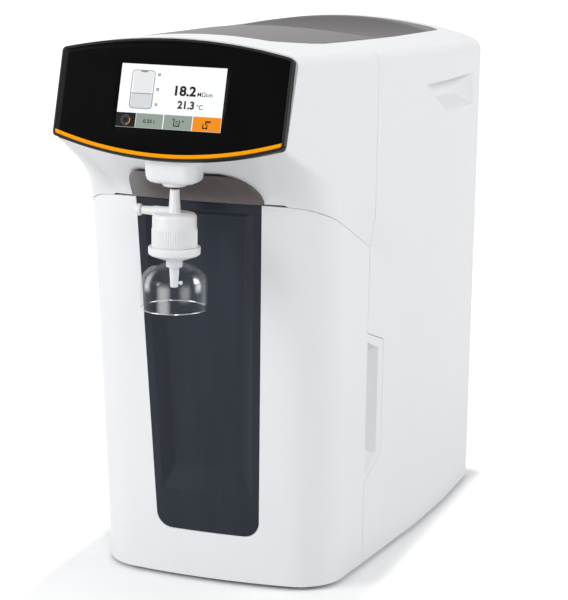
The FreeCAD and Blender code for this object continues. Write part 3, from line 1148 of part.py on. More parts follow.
valve_barb = V(0, valve_rear + 10, valve_z)
keep("outlet_hose", hose([cell_top, V(CELL_X, cell_y, valve_z - 4), V(0, cell_y - 60, valve_z), valve_barb],
                         HOSE_R))

for name, shape in NODES.items():
    shape.exportStep(f"parts/{name}.step")
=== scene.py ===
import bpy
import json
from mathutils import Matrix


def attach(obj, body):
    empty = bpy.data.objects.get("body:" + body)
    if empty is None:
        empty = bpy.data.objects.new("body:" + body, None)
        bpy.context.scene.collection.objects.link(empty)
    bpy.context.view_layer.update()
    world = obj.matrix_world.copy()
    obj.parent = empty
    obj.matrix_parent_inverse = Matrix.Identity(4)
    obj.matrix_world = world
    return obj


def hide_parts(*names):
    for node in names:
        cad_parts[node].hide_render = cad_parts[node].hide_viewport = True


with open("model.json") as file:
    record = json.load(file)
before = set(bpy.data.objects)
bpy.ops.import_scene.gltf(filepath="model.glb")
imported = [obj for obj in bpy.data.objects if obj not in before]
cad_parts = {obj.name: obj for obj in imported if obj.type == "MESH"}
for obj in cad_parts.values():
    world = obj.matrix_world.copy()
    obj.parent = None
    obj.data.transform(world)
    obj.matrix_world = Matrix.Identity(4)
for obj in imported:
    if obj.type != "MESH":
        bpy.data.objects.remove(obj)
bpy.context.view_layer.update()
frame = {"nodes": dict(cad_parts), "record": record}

import json
import math

import bpy
from mathutils import Matrix, Vector

# Bench-top ultrapure water machine. Sizes are millimetres until a mesh is made, +Z up, display towards -Y.
MM = 0.001

# ---------------------------------------------------------------- overall form
FLOOR_GAP = 4.0              # the covers stop this far above the bench
WALL = 3.0                   # moulded covers
SEAM = 0.6                   # gap between two covers
DISPLAY_Y, DISPLAY_Z = -268.3, 428.0     # lower corners of the display's face
DISPLAY_TILT = math.radians(17.0)
DISPLAY_HALF, DISPLAY_SIDE = 105.0, 76.4
DISPLAY_RISE, DISPLAY_SAG, DISPLAY_THICK = 12.0, 16.0, 7.5
WIDE_CIRCLE = ((DISPLAY_Y, 104.0), (-60.0, 126.3), (160.0, 141.0))   # (y, half width)
REAR_Y, REAR_CORNER = 273.0, 26.0
CROWN_Z, CROWN_Y, CROWN_FALL = 513.0, -246.0, math.radians(1.9)
ROOF_RADIUS, ROOF_EDGE = 470.0, 9.0
SEAM_Y = -67.0               # plane between the front and rear covers
DOOR_TOP = 367.0
DOOR_LOW_Y, DOOR_HIGH_Y = -159.5, -196.0
DOOR_LOW_HALF, DOOR_HIGH_HALF = 112.0, 117.2
DOOR_CORNER, DOOR_BOW = 45.0, 540.0
SEAM_HALF, LOWER_TAPER = 121.2, 0.11
ARCH_SLOPE, ARCH_COLUMN_Y, ARCH_BEND = 0.425, 100.0, 60.0
SEAM_SLOPE, SEAM_TURN, SEAM_TURN_Y = 0.445, 60.0, -204.0
COLUMN_INNER_Y, COLUMN_BEND = 56.0, 45.0
SPOUT_Y = -247.5


# ================================================================ modelling helpers
MERGE, FINE_MERGE, MIRROR_MERGE = 0.02, 0.005, 0.05      # points closer than this become one
SMOOTH_ANGLE, ROUND_ANGLE, RIB_ANGLE = 30, 40, 60        # degrees between faces that still shade as one
EASED_FLAT, EASED_EDGE = 0.5, 30                         # degrees: what counts as flat, and as an edge
SETTLING = 12                                            # rounds after which a repeated step has settled


def cleared():
    bpy.ops.object.select_all(action="DESELECT")


def alone(piece):
    """Makes the piece the only selected object, and the active one."""
    cleared()
    piece.select_set(True)
    bpy.context.view_layer.objects.active = piece
    return piece


def modified(piece, kind, **settings):
    """Adds one modifier, sets it and applies it."""
    alone(piece)
    modifier = piece.modifiers.new(kind.title(), kind)
    for name, value in settings.items():
        setattr(modifier, name, value)
    bpy.ops.object.modifier_apply(modifier=modifier.name)
    return piece


def mesh_piece(name, points, faces):
    """A mesh object from points in millimetres."""
    mesh = bpy.data.meshes.new(name)
    mesh.from_pydata([Vector(p) * MM for p in points], [], faces)
    mesh.validate()
    piece = bpy.data.objects.new(name, mesh)
    bpy.context.scene.collection.objects.link(piece)
    return piece


def merged(piece, distance=MERGE):
    """Joins points that fall together and turns all faces outwards."""
    alone(piece)
    bpy.ops.object.mode_set(mode="EDIT")
    bpy.ops.mesh.select_all(action="SELECT")
    bpy.ops.mesh.remove_doubles(threshold=distance * MM)
    bpy.ops.mesh.normals_make_consistent(inside=False)
    bpy.ops.object.mode_set(mode="OBJECT")
    return piece


def quilt(name, patches):
    """One skin from patches, each a list of rows of points."""
    points, faces = [], []
    for patch in patches:
        start, wide = len(points), len(patch[0])
        for row in patch:
            points += row
        for i in range(len(patch) - 1):
            for j in range(wide - 1):
                a = start + i * wide + j
                faces.append((a, a + 1, a + wide + 1, a + wide))
    return merged(mesh_piece(name, points, faces))


def both_halves(piece):
    """Completes a right half with its mirror image."""
    return modified(piece, "MIRROR", use_axis=(True, False, False), merge_threshold=MIRROR_MERGE * MM)


def walled(piece, thick=WALL):
    """Gives a skin whose faces point outwards its wall, on the inside."""
    return modified(piece, "SOLIDIFY", thickness=thick * MM, offset=-1, use_even_offset=True)


def cut(piece, tool, operation="DIFFERENCE"):
    """Cuts with a tool object, which is used up."""
    modified(piece, "BOOLEAN", object=tool, operation=operation, solver="EXACT")
    bpy.data.objects.remove(tool)
    return piece


def drawn(points):
    """In edit mode, draws a line through points by extruding one vertex along it."""
    path = [Vector(p) * MM for p in points]
    bpy.ops.mesh.primitive_plane_add(size=MM)
    bpy.ops.mesh.merge(type="CENTER")
    bpy.ops.transform.translate(value=path[0])
    for here, there in zip(path, path[1:]):
        bpy.ops.mesh.extrude_vertices_move(TRANSFORM_OT_translate={"value": there - here})


def begun(name):
    """A new piece at the origin, empty and in edit mode."""
    cleared()
    bpy.ops.mesh.primitive_plane_add(size=MM)
    piece = bpy.context.active_object
    piece.name = name
    bpy.ops.object.mode_set(mode="EDIT")
    bpy.ops.mesh.select_all(action="SELECT")
    bpy.ops.mesh.delete(type="VERT")
    return piece


def prism(name, outline, low, high, axis="Z"):
    """A closed prism on an outline. Axis Z reads (x, y) points, axis Y reads (x, z) points."""
    piece = begun(name)
    drawn([(x, y, low) if axis == "Z" else (x, low, y) for x, y in outline])
    bpy.ops.mesh.select_all(action="SELECT")
    bpy.ops.mesh.edge_face_add()
    way = (0, 0, 1) if axis == "Z" else (0, 1, 0)
    bpy.ops.mesh.extrude_region_move(TRANSFORM_OT_translate={"value": Vector(way) * (high - low) * MM})
    bpy.ops.object.mode_set(mode="OBJECT")
    return merged(piece)


LEFTWARD, RIGHTWARD = -math.pi / 2, math.pi / 2


def turned(name, profile, centre, steps=96, lean=0.0, closed=False):
    """Spins a (radius, height) profile about its height, leans it over, and puts its foot at centre."""
    piece = begun(name)
    drawn([(r, 0, h) for r, h in (profile + profile[:1] if closed else profile)])
    bpy.ops.mesh.select_all(action="SELECT")
    bpy.ops.mesh.spin(steps=steps, angle=2 * math.pi, center=(0, 0, 0), axis=(0, 0, 1))
    bpy.ops.object.mode_set(mode="OBJECT")
    merged(piece)
    piece.rotation_euler = (0, lean, 0)
    piece.location = Vector(centre) * MM
    return piece


def rounded(points, radius, steps=6):
    """A closed outline whose corners are rounded; radius is one number or one for each corner."""
    out = []
    n = len(points)
    for i, p in enumerate(points):
        r = radius[i] if isinstance(radius, (list, tuple)) else radius
        here = Vector(p)
        before = (Vector(points[i - 1]) - here).normalized()
        after = (Vector(points[(i + 1) % n]) - here).normalized()
        if r < 0.01:
            out.append(tuple(here))
            continue
        half = before.angle(after) / 2
        reach = r / math.tan(half)
        centre = here + (before + after).normalized() * (r / math.sin(half))
        first = here + before * reach - centre
        turn = math.pi - 2 * half
        way = 1 if before.x * after.y - before.y * after.x < 0 else -1
        for k in range(steps + 1):
            a = way * turn * k / steps
            out.append((centre.x + first.x * math.cos(a) - first.y * math.sin(a),
                        centre.y + first.x * math.sin(a) + first.y * math.cos(a)))
    return out


def finished(piece, body, slot, *nodes, look=None, angle=SMOOTH_ANGLE):
    """Puts a piece's place in its mesh, smooths it, gives it the material of its look or slot, hangs it on
    its body, and hides the nodes it stands for.
    """
    alone(piece)
    bpy.ops.object.transform_apply(location=True, rotation=True, scale=True)
    bpy.ops.object.shade_smooth_by_angle(angle=math.radians(angle))
    piece.data.materials.clear()
    piece.data.materials.append(LOOKS[look or slot].material)
    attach(piece, body)
    if nodes:
        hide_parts(*nodes)
    return piece


def eased(node, body, width):
    """A copy of a CAD node with its flat faces cleaned up and its edges eased."""
    slot = next(row["material_slot"] for row in frame["record"]["subparts"] if row["node"] == node)
    source = frame["nodes"][node]
    piece = bpy.data.objects.new("eased_" + node, source.data.copy())
    bpy.context.scene.collection.objects.link(piece)
    merged(piece, FINE_MERGE)
    bpy.ops.object.mode_set(mode="EDIT")
    bpy.ops.mesh.select_all(action="SELECT")
    bpy.ops.mesh.dissolve_limited(angle_limit=math.radians(EASED_FLAT))
    bpy.ops.object.mode_set(mode="OBJECT")
    edge_softened(piece, width, EASED_EDGE)
    finished(piece, body, slot, node, angle=ROUND_ANGLE)


def edge_softened(piece, width, angle=40, segments=2):
    """Rounds off every edge at which the faces turn by more than angle degrees."""
    return modified(piece, "BEVEL", width=width * MM, segments=segments, limit_method="ANGLE",
                    angle_limit=math.radians(angle))


def settled(step, start):
    """The value at which a step no longer changes what it is given."""
    for _ in range(SETTLING):
        start = step(start)
    return start


def mix(a, b, share):
    return a + (b - a) * share


def steps_between(start, end, count):
    return [mix(start, end, i / count) for i in range(count + 1)]


# ================================================================ camera
CAMERA_TURN, CAMERA_RISE, CAMERA_ROLL = math.radians(19.116), math.radians(12.465), math.radians(-0.955)
CAMERA_PLACE = (0.6708, -1.8927, 0.6813)     # metres
CAMERA_LENS, SENSOR_WIDTH = 126, 36
CAMERA_NEAR, CAMERA_FAR = 0.1, 50


def stand_camera():
    """A camera to the right of the front and above it, looking back along its turn and rise."""
    right = Vector((math.cos(CAMERA_TURN), math.sin(CAMERA_TURN), 0))
    level = Vector((math.sin(CAMERA_TURN), -math.cos(CAMERA_TURN), 0))
    back = level * math.cos(CAMERA_RISE) + Vector((0, 0, math.sin(CAMERA_RISE)))
    down = (-back).cross(right)
    across = math.cos(CAMERA_ROLL) * right + math.sin(CAMERA_ROLL) * down
    up = math.sin(CAMERA_ROLL) * right - math.cos(CAMERA_ROLL) * down
    data = bpy.data.cameras.new("camera")
    data.lens, data.sensor_width = CAMERA_LENS, SENSOR_WIDTH
    data.clip_start, data.clip_end = CAMERA_NEAR, CAMERA_FAR
    camera = bpy.data.objects.new("camera", data)
    bpy.context.scene.collection.objects.link(camera)
    place = Matrix.Translation(Vector(CAMERA_PLACE))
    camera.matrix_world = place @ Matrix((across, up, back)).transposed().to_4x4()
    bpy.context.scene.camera = camera


stand_camera()
bpy.context.scene.view_settings.view_transform = "Standard"


# ================================================================ shader helpers
def tone(red, green, blue):
    """A display colour, 0 to 255, as the linear colour that a shader takes."""
    def linear(c):
        c /= 255
        return c / 12.92 if c <= 0.04045 else ((c + 0.055) / 1.055) ** 2.4
    return (linear(red), linear(green), linear(blue), 1.0)


class Wire:
    """A socket that plain arithmetic adds Math nodes to."""

    def __init__(self, nodes, socket):
        self.nodes, self.socket = nodes, socket

    def _math(self, operation, *values, **settings):
        return self.nodes.node("Math", {"operation": operation, **settings}, dict(enumerate(values)))

    def __add__(self, other):
        return self._math("ADD", self, other)

    def __sub__(self, other):
        return self._math("SUBTRACT", self, other)

    def __rsub__(self, other):
        return self._math("SUBTRACT", other, self)

    def __mul__(self, other):
        return self._math("MULTIPLY", self, other)

    __radd__ = __add__
    __rmul__ = __mul__

    def above(self, edge, soft):
        """0 below edge and 1 above it, over a soft step."""
        return self.nodes.node("MapRange", {"interpolation_type": "SMOOTHSTEP"},
                               {"Value": self, "From Min": edge - soft, "From Max": edge + soft})

    def wave(self):
        return self._math("SINE", self)

    def size(self):
        return self._math("ABSOLUTE", self)

    def or_else(self, other):
        """The sum of two shares, no more than 1."""
        return self._math("ADD", self, other, use_clamp=True)

    def beside(self, name):
        """Another output of the same node."""
        return Wire(self.nodes, self.socket.node.outputs[name])


class Nodes:
    """A node tree, the way that nodes are added to it, and the surface it ends in."""

    def __init__(self, tree, output):
        self.tree, self.surface = tree, tree.nodes[output].inputs["Surface"]

    def node(self, kind, settings, values, output=0):
        made = self.tree.nodes.new("ShaderNode" + kind)
        for name, value in settings.items():
            setattr(made, name, value)
        for name, value in values.items():
            if isinstance(value, Wire):
                self.tree.links.new(value.socket, made.inputs[name])
            else:
                made.inputs[name].default_value = value
        return Wire(self, made.outputs[output])

    def shows(self, wire):
        self.tree.links.new(wire.socket, self.surface)

    def white_afar(self, lit, white, share=1.0):
        """Shows white instead of lit where the camera, or a mirror or glass, looks straight at it."""
        rays = self.node("LightPath", {}, {}, "Is Camera Ray")
        seen = rays.or_else(rays.beside("Is Glossy Ray")).or_else(rays.beside("Is Transmission Ray"))
        self.shows(self.node("MixShader", {}, {0: seen * share, 1: lit, 2: white}, "Shader"))


class Look(Nodes):
    """A material: its Principled shader and the nodes before it."""

    def __init__(self, name, **plain):
        self.material = bpy.data.materials.new(name)
        self.material.use_nodes = True
        super().__init__(self.material.node_tree, "Material Output")
        self.shader = self.tree.nodes["Principled BSDF"]
        for socket, value in plain.items():
            self.shader.inputs[socket.replace("_", " ")].default_value = value
        self.place = self.node("TexCoord", {}, {}, "Object")

    def feed(self, socket, wire):
        self.tree.links.new(wire.socket, self.shader.inputs[socket])

    def noise(self, scale, detail, rough=0.55, stretch=(1, 1, 1)):
        place = self.place
        if stretch != (1, 1, 1):
            place = self.node("Mapping", {}, {"Vector": self.place, "Scale": stretch})
        values = {"Vector": place, "Scale": scale, "Detail": detail, "Roughness": rough}
        return self.node("TexNoise", {}, values)

    def blend(self, share, first, second):
        """A colour between two; 0, 6 and 7 are the Mix node's sockets for colours, and 2 its output."""
        return self.node("Mix", {"data_type": "RGBA"}, {0: share, 6: first, 7: second}, 2)

    def bump(self, height, strength, distance):
        values = {"Height": height, "Strength": strength, "Distance": distance}
        self.feed("Normal", self.node("Bump", {}, values))

    def axis(self, name):
        return self.node("SeparateXYZ", {}, {"Vector": self.place}, "XYZ".index(name))


GRAIN, TEXTURED_GRAIN = 1600.0, 1500.0               # noise scales of moulded surfaces, per metre
SHALLOW, MIDDLING, DEEP = 0.00002, 0.00003, 0.00004  # heights of that grain, metres


def shaded(colour, share):
    """The colour times a share."""
    return tuple(c * share for c in colour[:3]) + (1.0,)


def moulded(name, colour, rough, grain=GRAIN, depth=SHALLOW, shift=0.06, **plain):
    """Moulded plastic: fine grain in the surface, and slow drifts of tone and gloss."""
    look = Look(name, **plain)
    drift = look.noise(9.0, 2.0)
    grains = look.noise(grain, 2.0, 0.6)
    look.feed("Base Color", look.blend(drift.above(0.5, 0.35), shaded(colour, 1 - shift), colour))
    look.feed("Roughness", grains * 0.10 + drift * 0.06 + (rough - 0.08))
    look.bump(grains, 0.35, depth)
    return look


def brushed(name, colour):
    """Rolled or brushed metal, streaked along one way."""
    look = Look(name, Metallic=1.0)
    streak = look.noise(60.0, 4.0, 0.6, (1, 1, 30))
    look.feed("Base Color", look.blend(streak, shaded(colour, 0.82), colour))
    look.feed("Roughness", streak * 0.2 + 0.22)
    look.bump(streak, 0.15, SHALLOW)
    return look


LOOKS = {
    "white_cover": moulded("white cover", tone(236, 238, 240), 0.34, shift=0.012),
    "bezel_grey": moulded("display surround", tone(20, 21, 21), 0.42, 1400.0, Specular_IOR_Level=0.15),
    "accent_orange": moulded("orange stripe", tone(243, 155, 0), 0.4, shift=0.03, Specular_IOR_Level=0.05),
    "circuit_board": moulded("circuit board", tone(42, 92, 58), 0.4),
    "frame_sheet": moulded("coated sheet", tone(196, 198, 200), 0.5),
    "black_plastic": moulded("black plastic", tone(34, 34, 36), 0.45),
    "rubber_foot": moulded("rubber", tone(38, 38, 38), 0.75, 900.0),
    "fitting_grey": moulded("grey fitting", tone(214, 214, 212), 0.4),
    "tub_plastic": moulded("formed tub", tone(186, 190, 194), 0.45),
    "bag_film": moulded("bag film", tone(206, 216, 224), 0.22, 120.0, 0.0006, Coat_Weight=0.6),
    "cartridge_white": moulded("cartridge", tone(226, 229, 232), 0.32),
    "cell_plastic": moulded("cell", tone(74, 76, 80), 0.4),
    "valve_plastic": moulded("valve", tone(50, 50, 54), 0.42),
    "hose_tube": moulded("hose", tone(222, 224, 222), 0.35),
    "membrane_white": moulded("membrane", tone(240, 240, 240), 0.8, 2600.0),
    "module_metal": brushed("screen module", tone(190, 190, 192)),
    "steel": brushed("zinc plated steel", tone(188, 188, 186)),
    "supply_case": brushed("supply case", tone(200, 200, 202)),
    "pins_brass": brushed("contact pins", tone(206, 196, 160)),
    "motor_metal": brushed("motor", tone(150, 150, 154)),
}


def niche_look():
    """Blue-black plastic, its tone drifting in upright bands."""
    look = Look("niche insert", Specular_IOR_Level=0.22)
    column = look.noise(38.0, 3.0, 0.6, (1, 1, 0.05))
    grain = look.noise(TEXTURED_GRAIN, 2.0, 0.6)
    tint = look.blend(column.above(0.55, 0.2), tone(34, 39, 49), tone(42, 48, 59))
    look.feed("Base Color", look.blend(grain * 0.5, tint, tone(31, 35, 44)))
    look.feed("Roughness", grain * 0.12 + 0.26)
    look.bump(grain, 0.45, DEEP)
    return look


STRIPE_SPACING = 0.0175                              # metres between stripes on the dark piece under the hood


def underside_look():
    """Taupe plastic, lighter to the left, with a few slanted and faintly lighter stripes."""
    look = Look("underside")
    slant = look.axis("X") + look.axis("Z") * 0.5
    stripe = (slant * (2 * math.pi / STRIPE_SPACING)).wave()
    grain = look.noise(TEXTURED_GRAIN, 2.0)
    leftward = look.axis("X") * -1.0
    base = look.blend(leftward.above(0.046, 0.016), tone(90, 82, 80), tone(118, 113, 113))
    look.feed("Base Color", look.blend(stripe.above(0.985, 0.015) * 0.28, base, tone(130, 124, 122)))
    look.feed("Roughness", grain * 0.1 + 0.4)
    look.bump(grain, 0.3, MIDDLING)
    return look


def lid_look():
    """Warm dark grey plastic with a fine texture."""
    look = Look("lid", Specular_IOR_Level=0.3)
    grain = look.noise(TEXTURED_GRAIN, 2.0)
    drift = look.noise(11.0, 2.0)
    look.feed("Base Color", look.blend(drift, tone(66, 61, 62), tone(74, 69, 70)))
    look.feed("Roughness", grain * 0.12 + 0.3)
    look.bump(grain, 0.35, MIDDLING)
    return look


def black_gloss_look():
    """Polished black, with faint smears in its gloss."""
    look = Look("black gloss panel", Specular_IOR_Level=0.03)
    smear = look.noise(26.0, 4.0, 0.6)
    look.feed("Base Color", look.blend(smear, tone(5, 5, 6), tone(10, 10, 11)))
    look.feed("Roughness", smear * 0.10 + 0.14)
    return look


HIGHLIGHT_FADE = 4.0                                    # millimetres over which a painted highlight streak ends


def clear_look(name, tint, rough, weight, painted_highlights=()):
    """Thin clear plastic: see-through, glossier towards its edges, and with painted highlights: upright
    streaks in which it is made glossier still.

    A painted highlight streak has its angle about the spout and half its width in degrees, the heights it
    runs between in millimetres, and its strength.
    """
    look = Look(name, Metallic=1.0, Base_Color=(0.96, 0.98, 1.0, 1))
    see = look.node("BsdfTransparent", {}, {"Color": tint})
    look.feed("Roughness", look.noise(14.0, 1.0) * 0.03 + rough)
    facing = look.node("LayerWeight", {}, {"Blend": 0.5}, "Facing")
    edge = facing * facing
    share = edge * edge * 0.5 + weight
    turn = look.node("Math", {"operation": "ARCTAN2"}, {0: look.axis("Y") - SPOUT_Y * MM, 1: look.axis("X")})
    height = look.axis("Z") * 1000
    # each streak raises the share of gloss there: a painted highlight on the clear plastic
    for degrees, wide, low, high, strength in painted_highlights:
        across = (turn - math.radians(degrees)).size()
        highlight_band = 1 - across.above(math.radians(wide), math.radians(wide * 0.7))
        highlight_band = highlight_band * height.above(low, HIGHLIGHT_FADE) * (1 - height.above(high, HIGHLIGHT_FADE))
        share = share + highlight_band * strength
    gloss = Wire(look, look.shader.outputs[0])
    look.shows(look.node("MixShader", {}, {0: share, 1: see, 2: gloss}, "Shader"))
    return look


def milky_look():
    """White plastic that lets a little light in."""
    look = Look("filter plastic", Subsurface_Weight=0.12, Subsurface_Scale=0.004, IOR=1.5)
    cloud = look.noise(70.0, 3.0)
    grain = look.noise(1200.0, 2.0)
    look.feed("Base Color", look.blend(cloud, tone(224, 225, 227), tone(237, 238, 239)))
    look.feed("Roughness", grain * 0.08 + 0.28)
    look.bump(grain, 0.2, SHALLOW)
    return look


def glow(name, colour):
    """A lit part of the screen."""
    look = Look(name, Roughness=0.3, Specular_IOR_Level=0.1, Base_Color=(0, 0, 0, 1), Emission_Strength=1.0)
    dots = look.noise(5200.0, 1.0)
    look.feed("Emission Color", look.blend(dots * 0.06, colour, shaded(colour, 0.8)))
    return look


# painted highlights on the clear bell: for each streak its angle, half width, low and high heights, and
# strength
BELL_PAINTED_HIGHLIGHTS = ((-122, 6, 300, 313, 0.35), (-87, 9, 278, 305, 0.2), (-49, 8, 292, 305, 0.1),
                (-22, 6, 300, 310, 0.4))
LOOKS.update({
    "dark_niche": niche_look(),
    "dark_underside": underside_look(),
    "lid_grey": lid_look(),
    "bezel_black": black_gloss_look(),
    "filter_white": milky_look(),
    "clear_bell": clear_look("clear bell", (0.99, 0.993, 0.997, 1), 0.03, 0.003, BELL_PAINTED_HIGHLIGHTS),
    "bell_bead": clear_look("bell bead", (0.95, 0.96, 0.97, 1), 0.05, 0.2),
    "screen_glass": glow("screen", tone(254, 255, 255)),
    "black": glow("screen black", tone(14, 14, 16)),
    "sage": glow("screen sage", tone(147, 161, 151)),
    "orange": glow("screen orange", tone(247, 145, 15)),
    "ink": glow("screen ink", tone(22, 24, 28)),
    "line": glow("screen line", tone(140, 143, 147)),
    "shade": glow("screen shade", tone(216, 219, 222)),
    "mist": glow("screen mist", tone(232, 234, 236)),
    "dial": glow("screen dial", tone(74, 76, 82)),
})

for row in frame["record"]["subparts"]:
    shown = frame["nodes"][row["node"]]
    shown.data.materials.clear()
    shown.data.materials.append(LOOKS[row["material_slot"]].material)


# ================================================================ the outer form
def circle_through(a, b, c):
    """Centre and radius of the circle through three (y, x) points."""
    (y1, x1), (y2, x2), (y3, x3) = a, b, c
    d = 2 * (y1 * (x2 - x3) + y2 * (x3 - x1) + y3 * (x1 - x2))
    s1, s2, s3 = y1 * y1 + x1 * x1, y2 * y2 + x2 * x2, y3 * y3 + x3 * x3
    cy = (s1 * (x2 - x3) + s2 * (x3 - x1) + s3 * (x1 - x2)) / d
    cx = (s1 * (y3 - y2) + s2 * (y1 - y3) + s3 * (y2 - y1)) / d
    return cy, cx, math.hypot(y1 - cy, x1 - cx)


WIDE_Y, WIDE_X, WIDE_R = circle_through(*WIDE_CIRCLE)
WIDEST_Y, REAR_HALF = WIDE_CIRCLE[2]


def wide_half(y):
    """Half width of the wide upper form at a depth y."""
    if y >= WIDEST_Y:
        return REAR_HALF
    return WIDE_X + math.sqrt(WIDE_R ** 2 - (y - WIDE_Y) ** 2)


def lower_half(y):
    """Half width of the form below the arch, behind the front cover, at a depth y."""
    return SEAM_HALF + LOWER_TAPER * (y - SEAM_Y)


def roof_z(x, y):
    """Height of the roof: it bows across and falls to the rear."""
    return CROWN_Z - math.tan(CROWN_FALL) * (y - CROWN_Y) - ROOF_RADIUS + math.sqrt(ROOF_RADIUS ** 2 - x * x)


def on_display(u, v, out=0.0):
    """A point on the display: u to the right, v up its face, out of its face."""
    s, c = math.sin(DISPLAY_TILT), math.cos(DISPLAY_TILT)
    return Vector((u, DISPLAY_Y + v * s - out * c, DISPLAY_Z + v * c + out * s))


def display_back(z):
    """Depth of the plane that the display's back lies on, at height z."""
    p = on_display(0, 0, -DISPLAY_THICK)
    return p.y + (z - p.z) * math.tan(DISPLAY_TILT)


def lean(z):
    """How far up the front cover a height is, as a share."""
    return (z - FLOOR_GAP) / (DOOR_TOP - FLOOR_GAP)


def door_corner(z):
    """Centre of the door's rounded corner at height z, and where it meets the front and the side."""
    bow_y = mix(DOOR_LOW_Y, DOOR_HIGH_Y, lean(z)) + DOOR_BOW
    half = mix(DOOR_LOW_HALF, DOOR_HIGH_HALF, lean(z))
    start = Vector((half, bow_y - math.sqrt(DOOR_BOW ** 2 - half ** 2)))
    side = (Vector((SEAM_HALF, SEAM_Y)) - start).normalized()
    inward = Vector((-side.y, side.x))
    base = start + inward * DOOR_CORNER - Vector((0, bow_y))
    along = base.dot(side)
    across = base.length_squared - (DOOR_BOW - DOOR_CORNER) ** 2
    centre = start + inward * DOOR_CORNER + side * (-along - math.sqrt(along * along - across))
    radial = Vector((centre.x, centre.y - bow_y)).normalized()
    return centre, centre + radial * DOOR_CORNER, centre - inward * DOOR_CORNER


def door_front(x, z):
    """Depth of the front cover's bowed face."""
    bow_y = mix(DOOR_LOW_Y, DOOR_HIGH_Y, lean(z)) + DOOR_BOW
    return bow_y - math.sqrt(DOOR_BOW ** 2 - x * x)


def arch_knee():
    """Where the inner edge's slope starts, the height its knee ends at, and the angle the knee turns by."""
    angle = math.atan(SEAM_SLOPE)
    turn_y = SEAM_TURN_Y + SEAM_TURN * math.sin(angle)
    turn_z = DOOR_TOP - SEAM_TURN * (1 - math.cos(angle))
    knee_z = turn_z - SEAM_SLOPE * (COLUMN_INNER_Y - turn_y)
    swing = math.pi / 2 - angle
    return turn_y, turn_z, knee_z - COLUMN_BEND * math.tan(swing / 2), swing


TURN_Y, TURN_Z, INNER_END, INNER_SWING = arch_knee()
OUTER_SWING = math.pi / 2 - math.atan(ARCH_SLOPE)


def seam_z(y):
    """Height of the seam between hood and door, and of the ramp's inner edge behind it."""
    if y >= TURN_Y:
        return TURN_Z - SEAM_SLOPE * (y - TURN_Y)
    reach = max(0.0, y - SEAM_TURN_Y)
    return DOOR_TOP - SEAM_TURN + math.sqrt(SEAM_TURN ** 2 - reach ** 2)


def arch_z(y):
    """Height of the arch's straight outer edge at a depth y."""
    return DISPLAY_Z - ARCH_SLOPE * (y - DISPLAY_Y)


def on_arch(y):
    """The point of that edge at a depth y."""
    return Vector((wide_half(y), y, arch_z(y)))


def inner_edge(y, z):
    """The point of the ramp's inner edge behind the cover seam, at a depth y and a height z."""
    return Vector((lower_half(y), y, z))


OUTER_END = arch_z(ARCH_COLUMN_Y) - ARCH_BEND * math.tan(OUTER_SWING / 2)     # height its knee ends at
EDGE_START = settled(lambda y: display_back(arch_z(y)), DISPLAY_Y)   # where the arch leaves the display
HOLLOWS = ((-262, 0.95), (-240, 0.85), (-217, 0.7), (-195, 0.5), (-178, 0.3), (-164, 0.2), (-140, 0.15))
REAR_HOLLOW = HOLLOWS[-1][1]
RAMP_STEEP, RAMP_OUT = 0.32, 4.0             # a hollow ramp's pole: share of its height, and way out
DISPLAY_COLUMNS, DISPLAY_SHARE = 12, 0.9     # stations along the display's lower edge, and their share of it
LIP_SHARES, LIP_HOLLOW = (0.33, 0.67, 1.0), 0.95
EDGE_ROW = DISPLAY_COLUMNS + len(LIP_SHARES)         # the first station that lies on the arch's outer edge
ARCH_COLUMNS, SEAM_COLUMNS, KNEE_COLUMNS, FOOT_COLUMNS = 30, 14, 8, 10
ROOF_COLUMNS, WALL_ROWS, SHOULDER_ROWS, RAMP_ROWS = 16, 9, 5, 9
REAR_COLUMNS, CORNER_COLUMNS, FLANK_ROWS = 10, 8, 6
EDGE_BEVEL, EDGE_SEGMENTS, EDGE_NEAR = 5.0, 5, 0.6   # rounding of the arch's outer edge


def hollow_at(y):
    """How deep the ramp under the arch is hollowed at depth y of its outer edge."""
    if y <= HOLLOWS[0][0]:
        return HOLLOWS[0][1]
    for (y0, h0), (y1, h1) in zip(HOLLOWS, HOLLOWS[1:]):
        if y <= y1:
            return mix(h0, h1, (y - y0) / (y1 - y0))
    return REAR_HOLLOW


def curve(start, pole, end, t):
    """A point of the curve that leaves start towards pole and comes from pole into end."""
    return start * (1 - t) ** 2 + pole * 2 * t * (1 - t) + end * t * t


def ramp_section(outer, inner, hollow, rows):
    """Points of the hollow ramp from the arch's outer edge to its inner edge."""
    away = Vector((1, 0, 0))
    if outer.y <= SEAM_Y:
        away = Vector((outer.x - inner.x, outer.y - inner.y, 0)).normalized()
    steep = inner + Vector((0, 0, RAMP_STEEP * (outer.z - inner.z))) + away * RAMP_OUT
    flat = (outer + inner) * 0.5
    pole = flat + (steep - flat) * hollow
    return [curve(outer, pole, inner, t) for t in steps_between(0, 1, rows)]


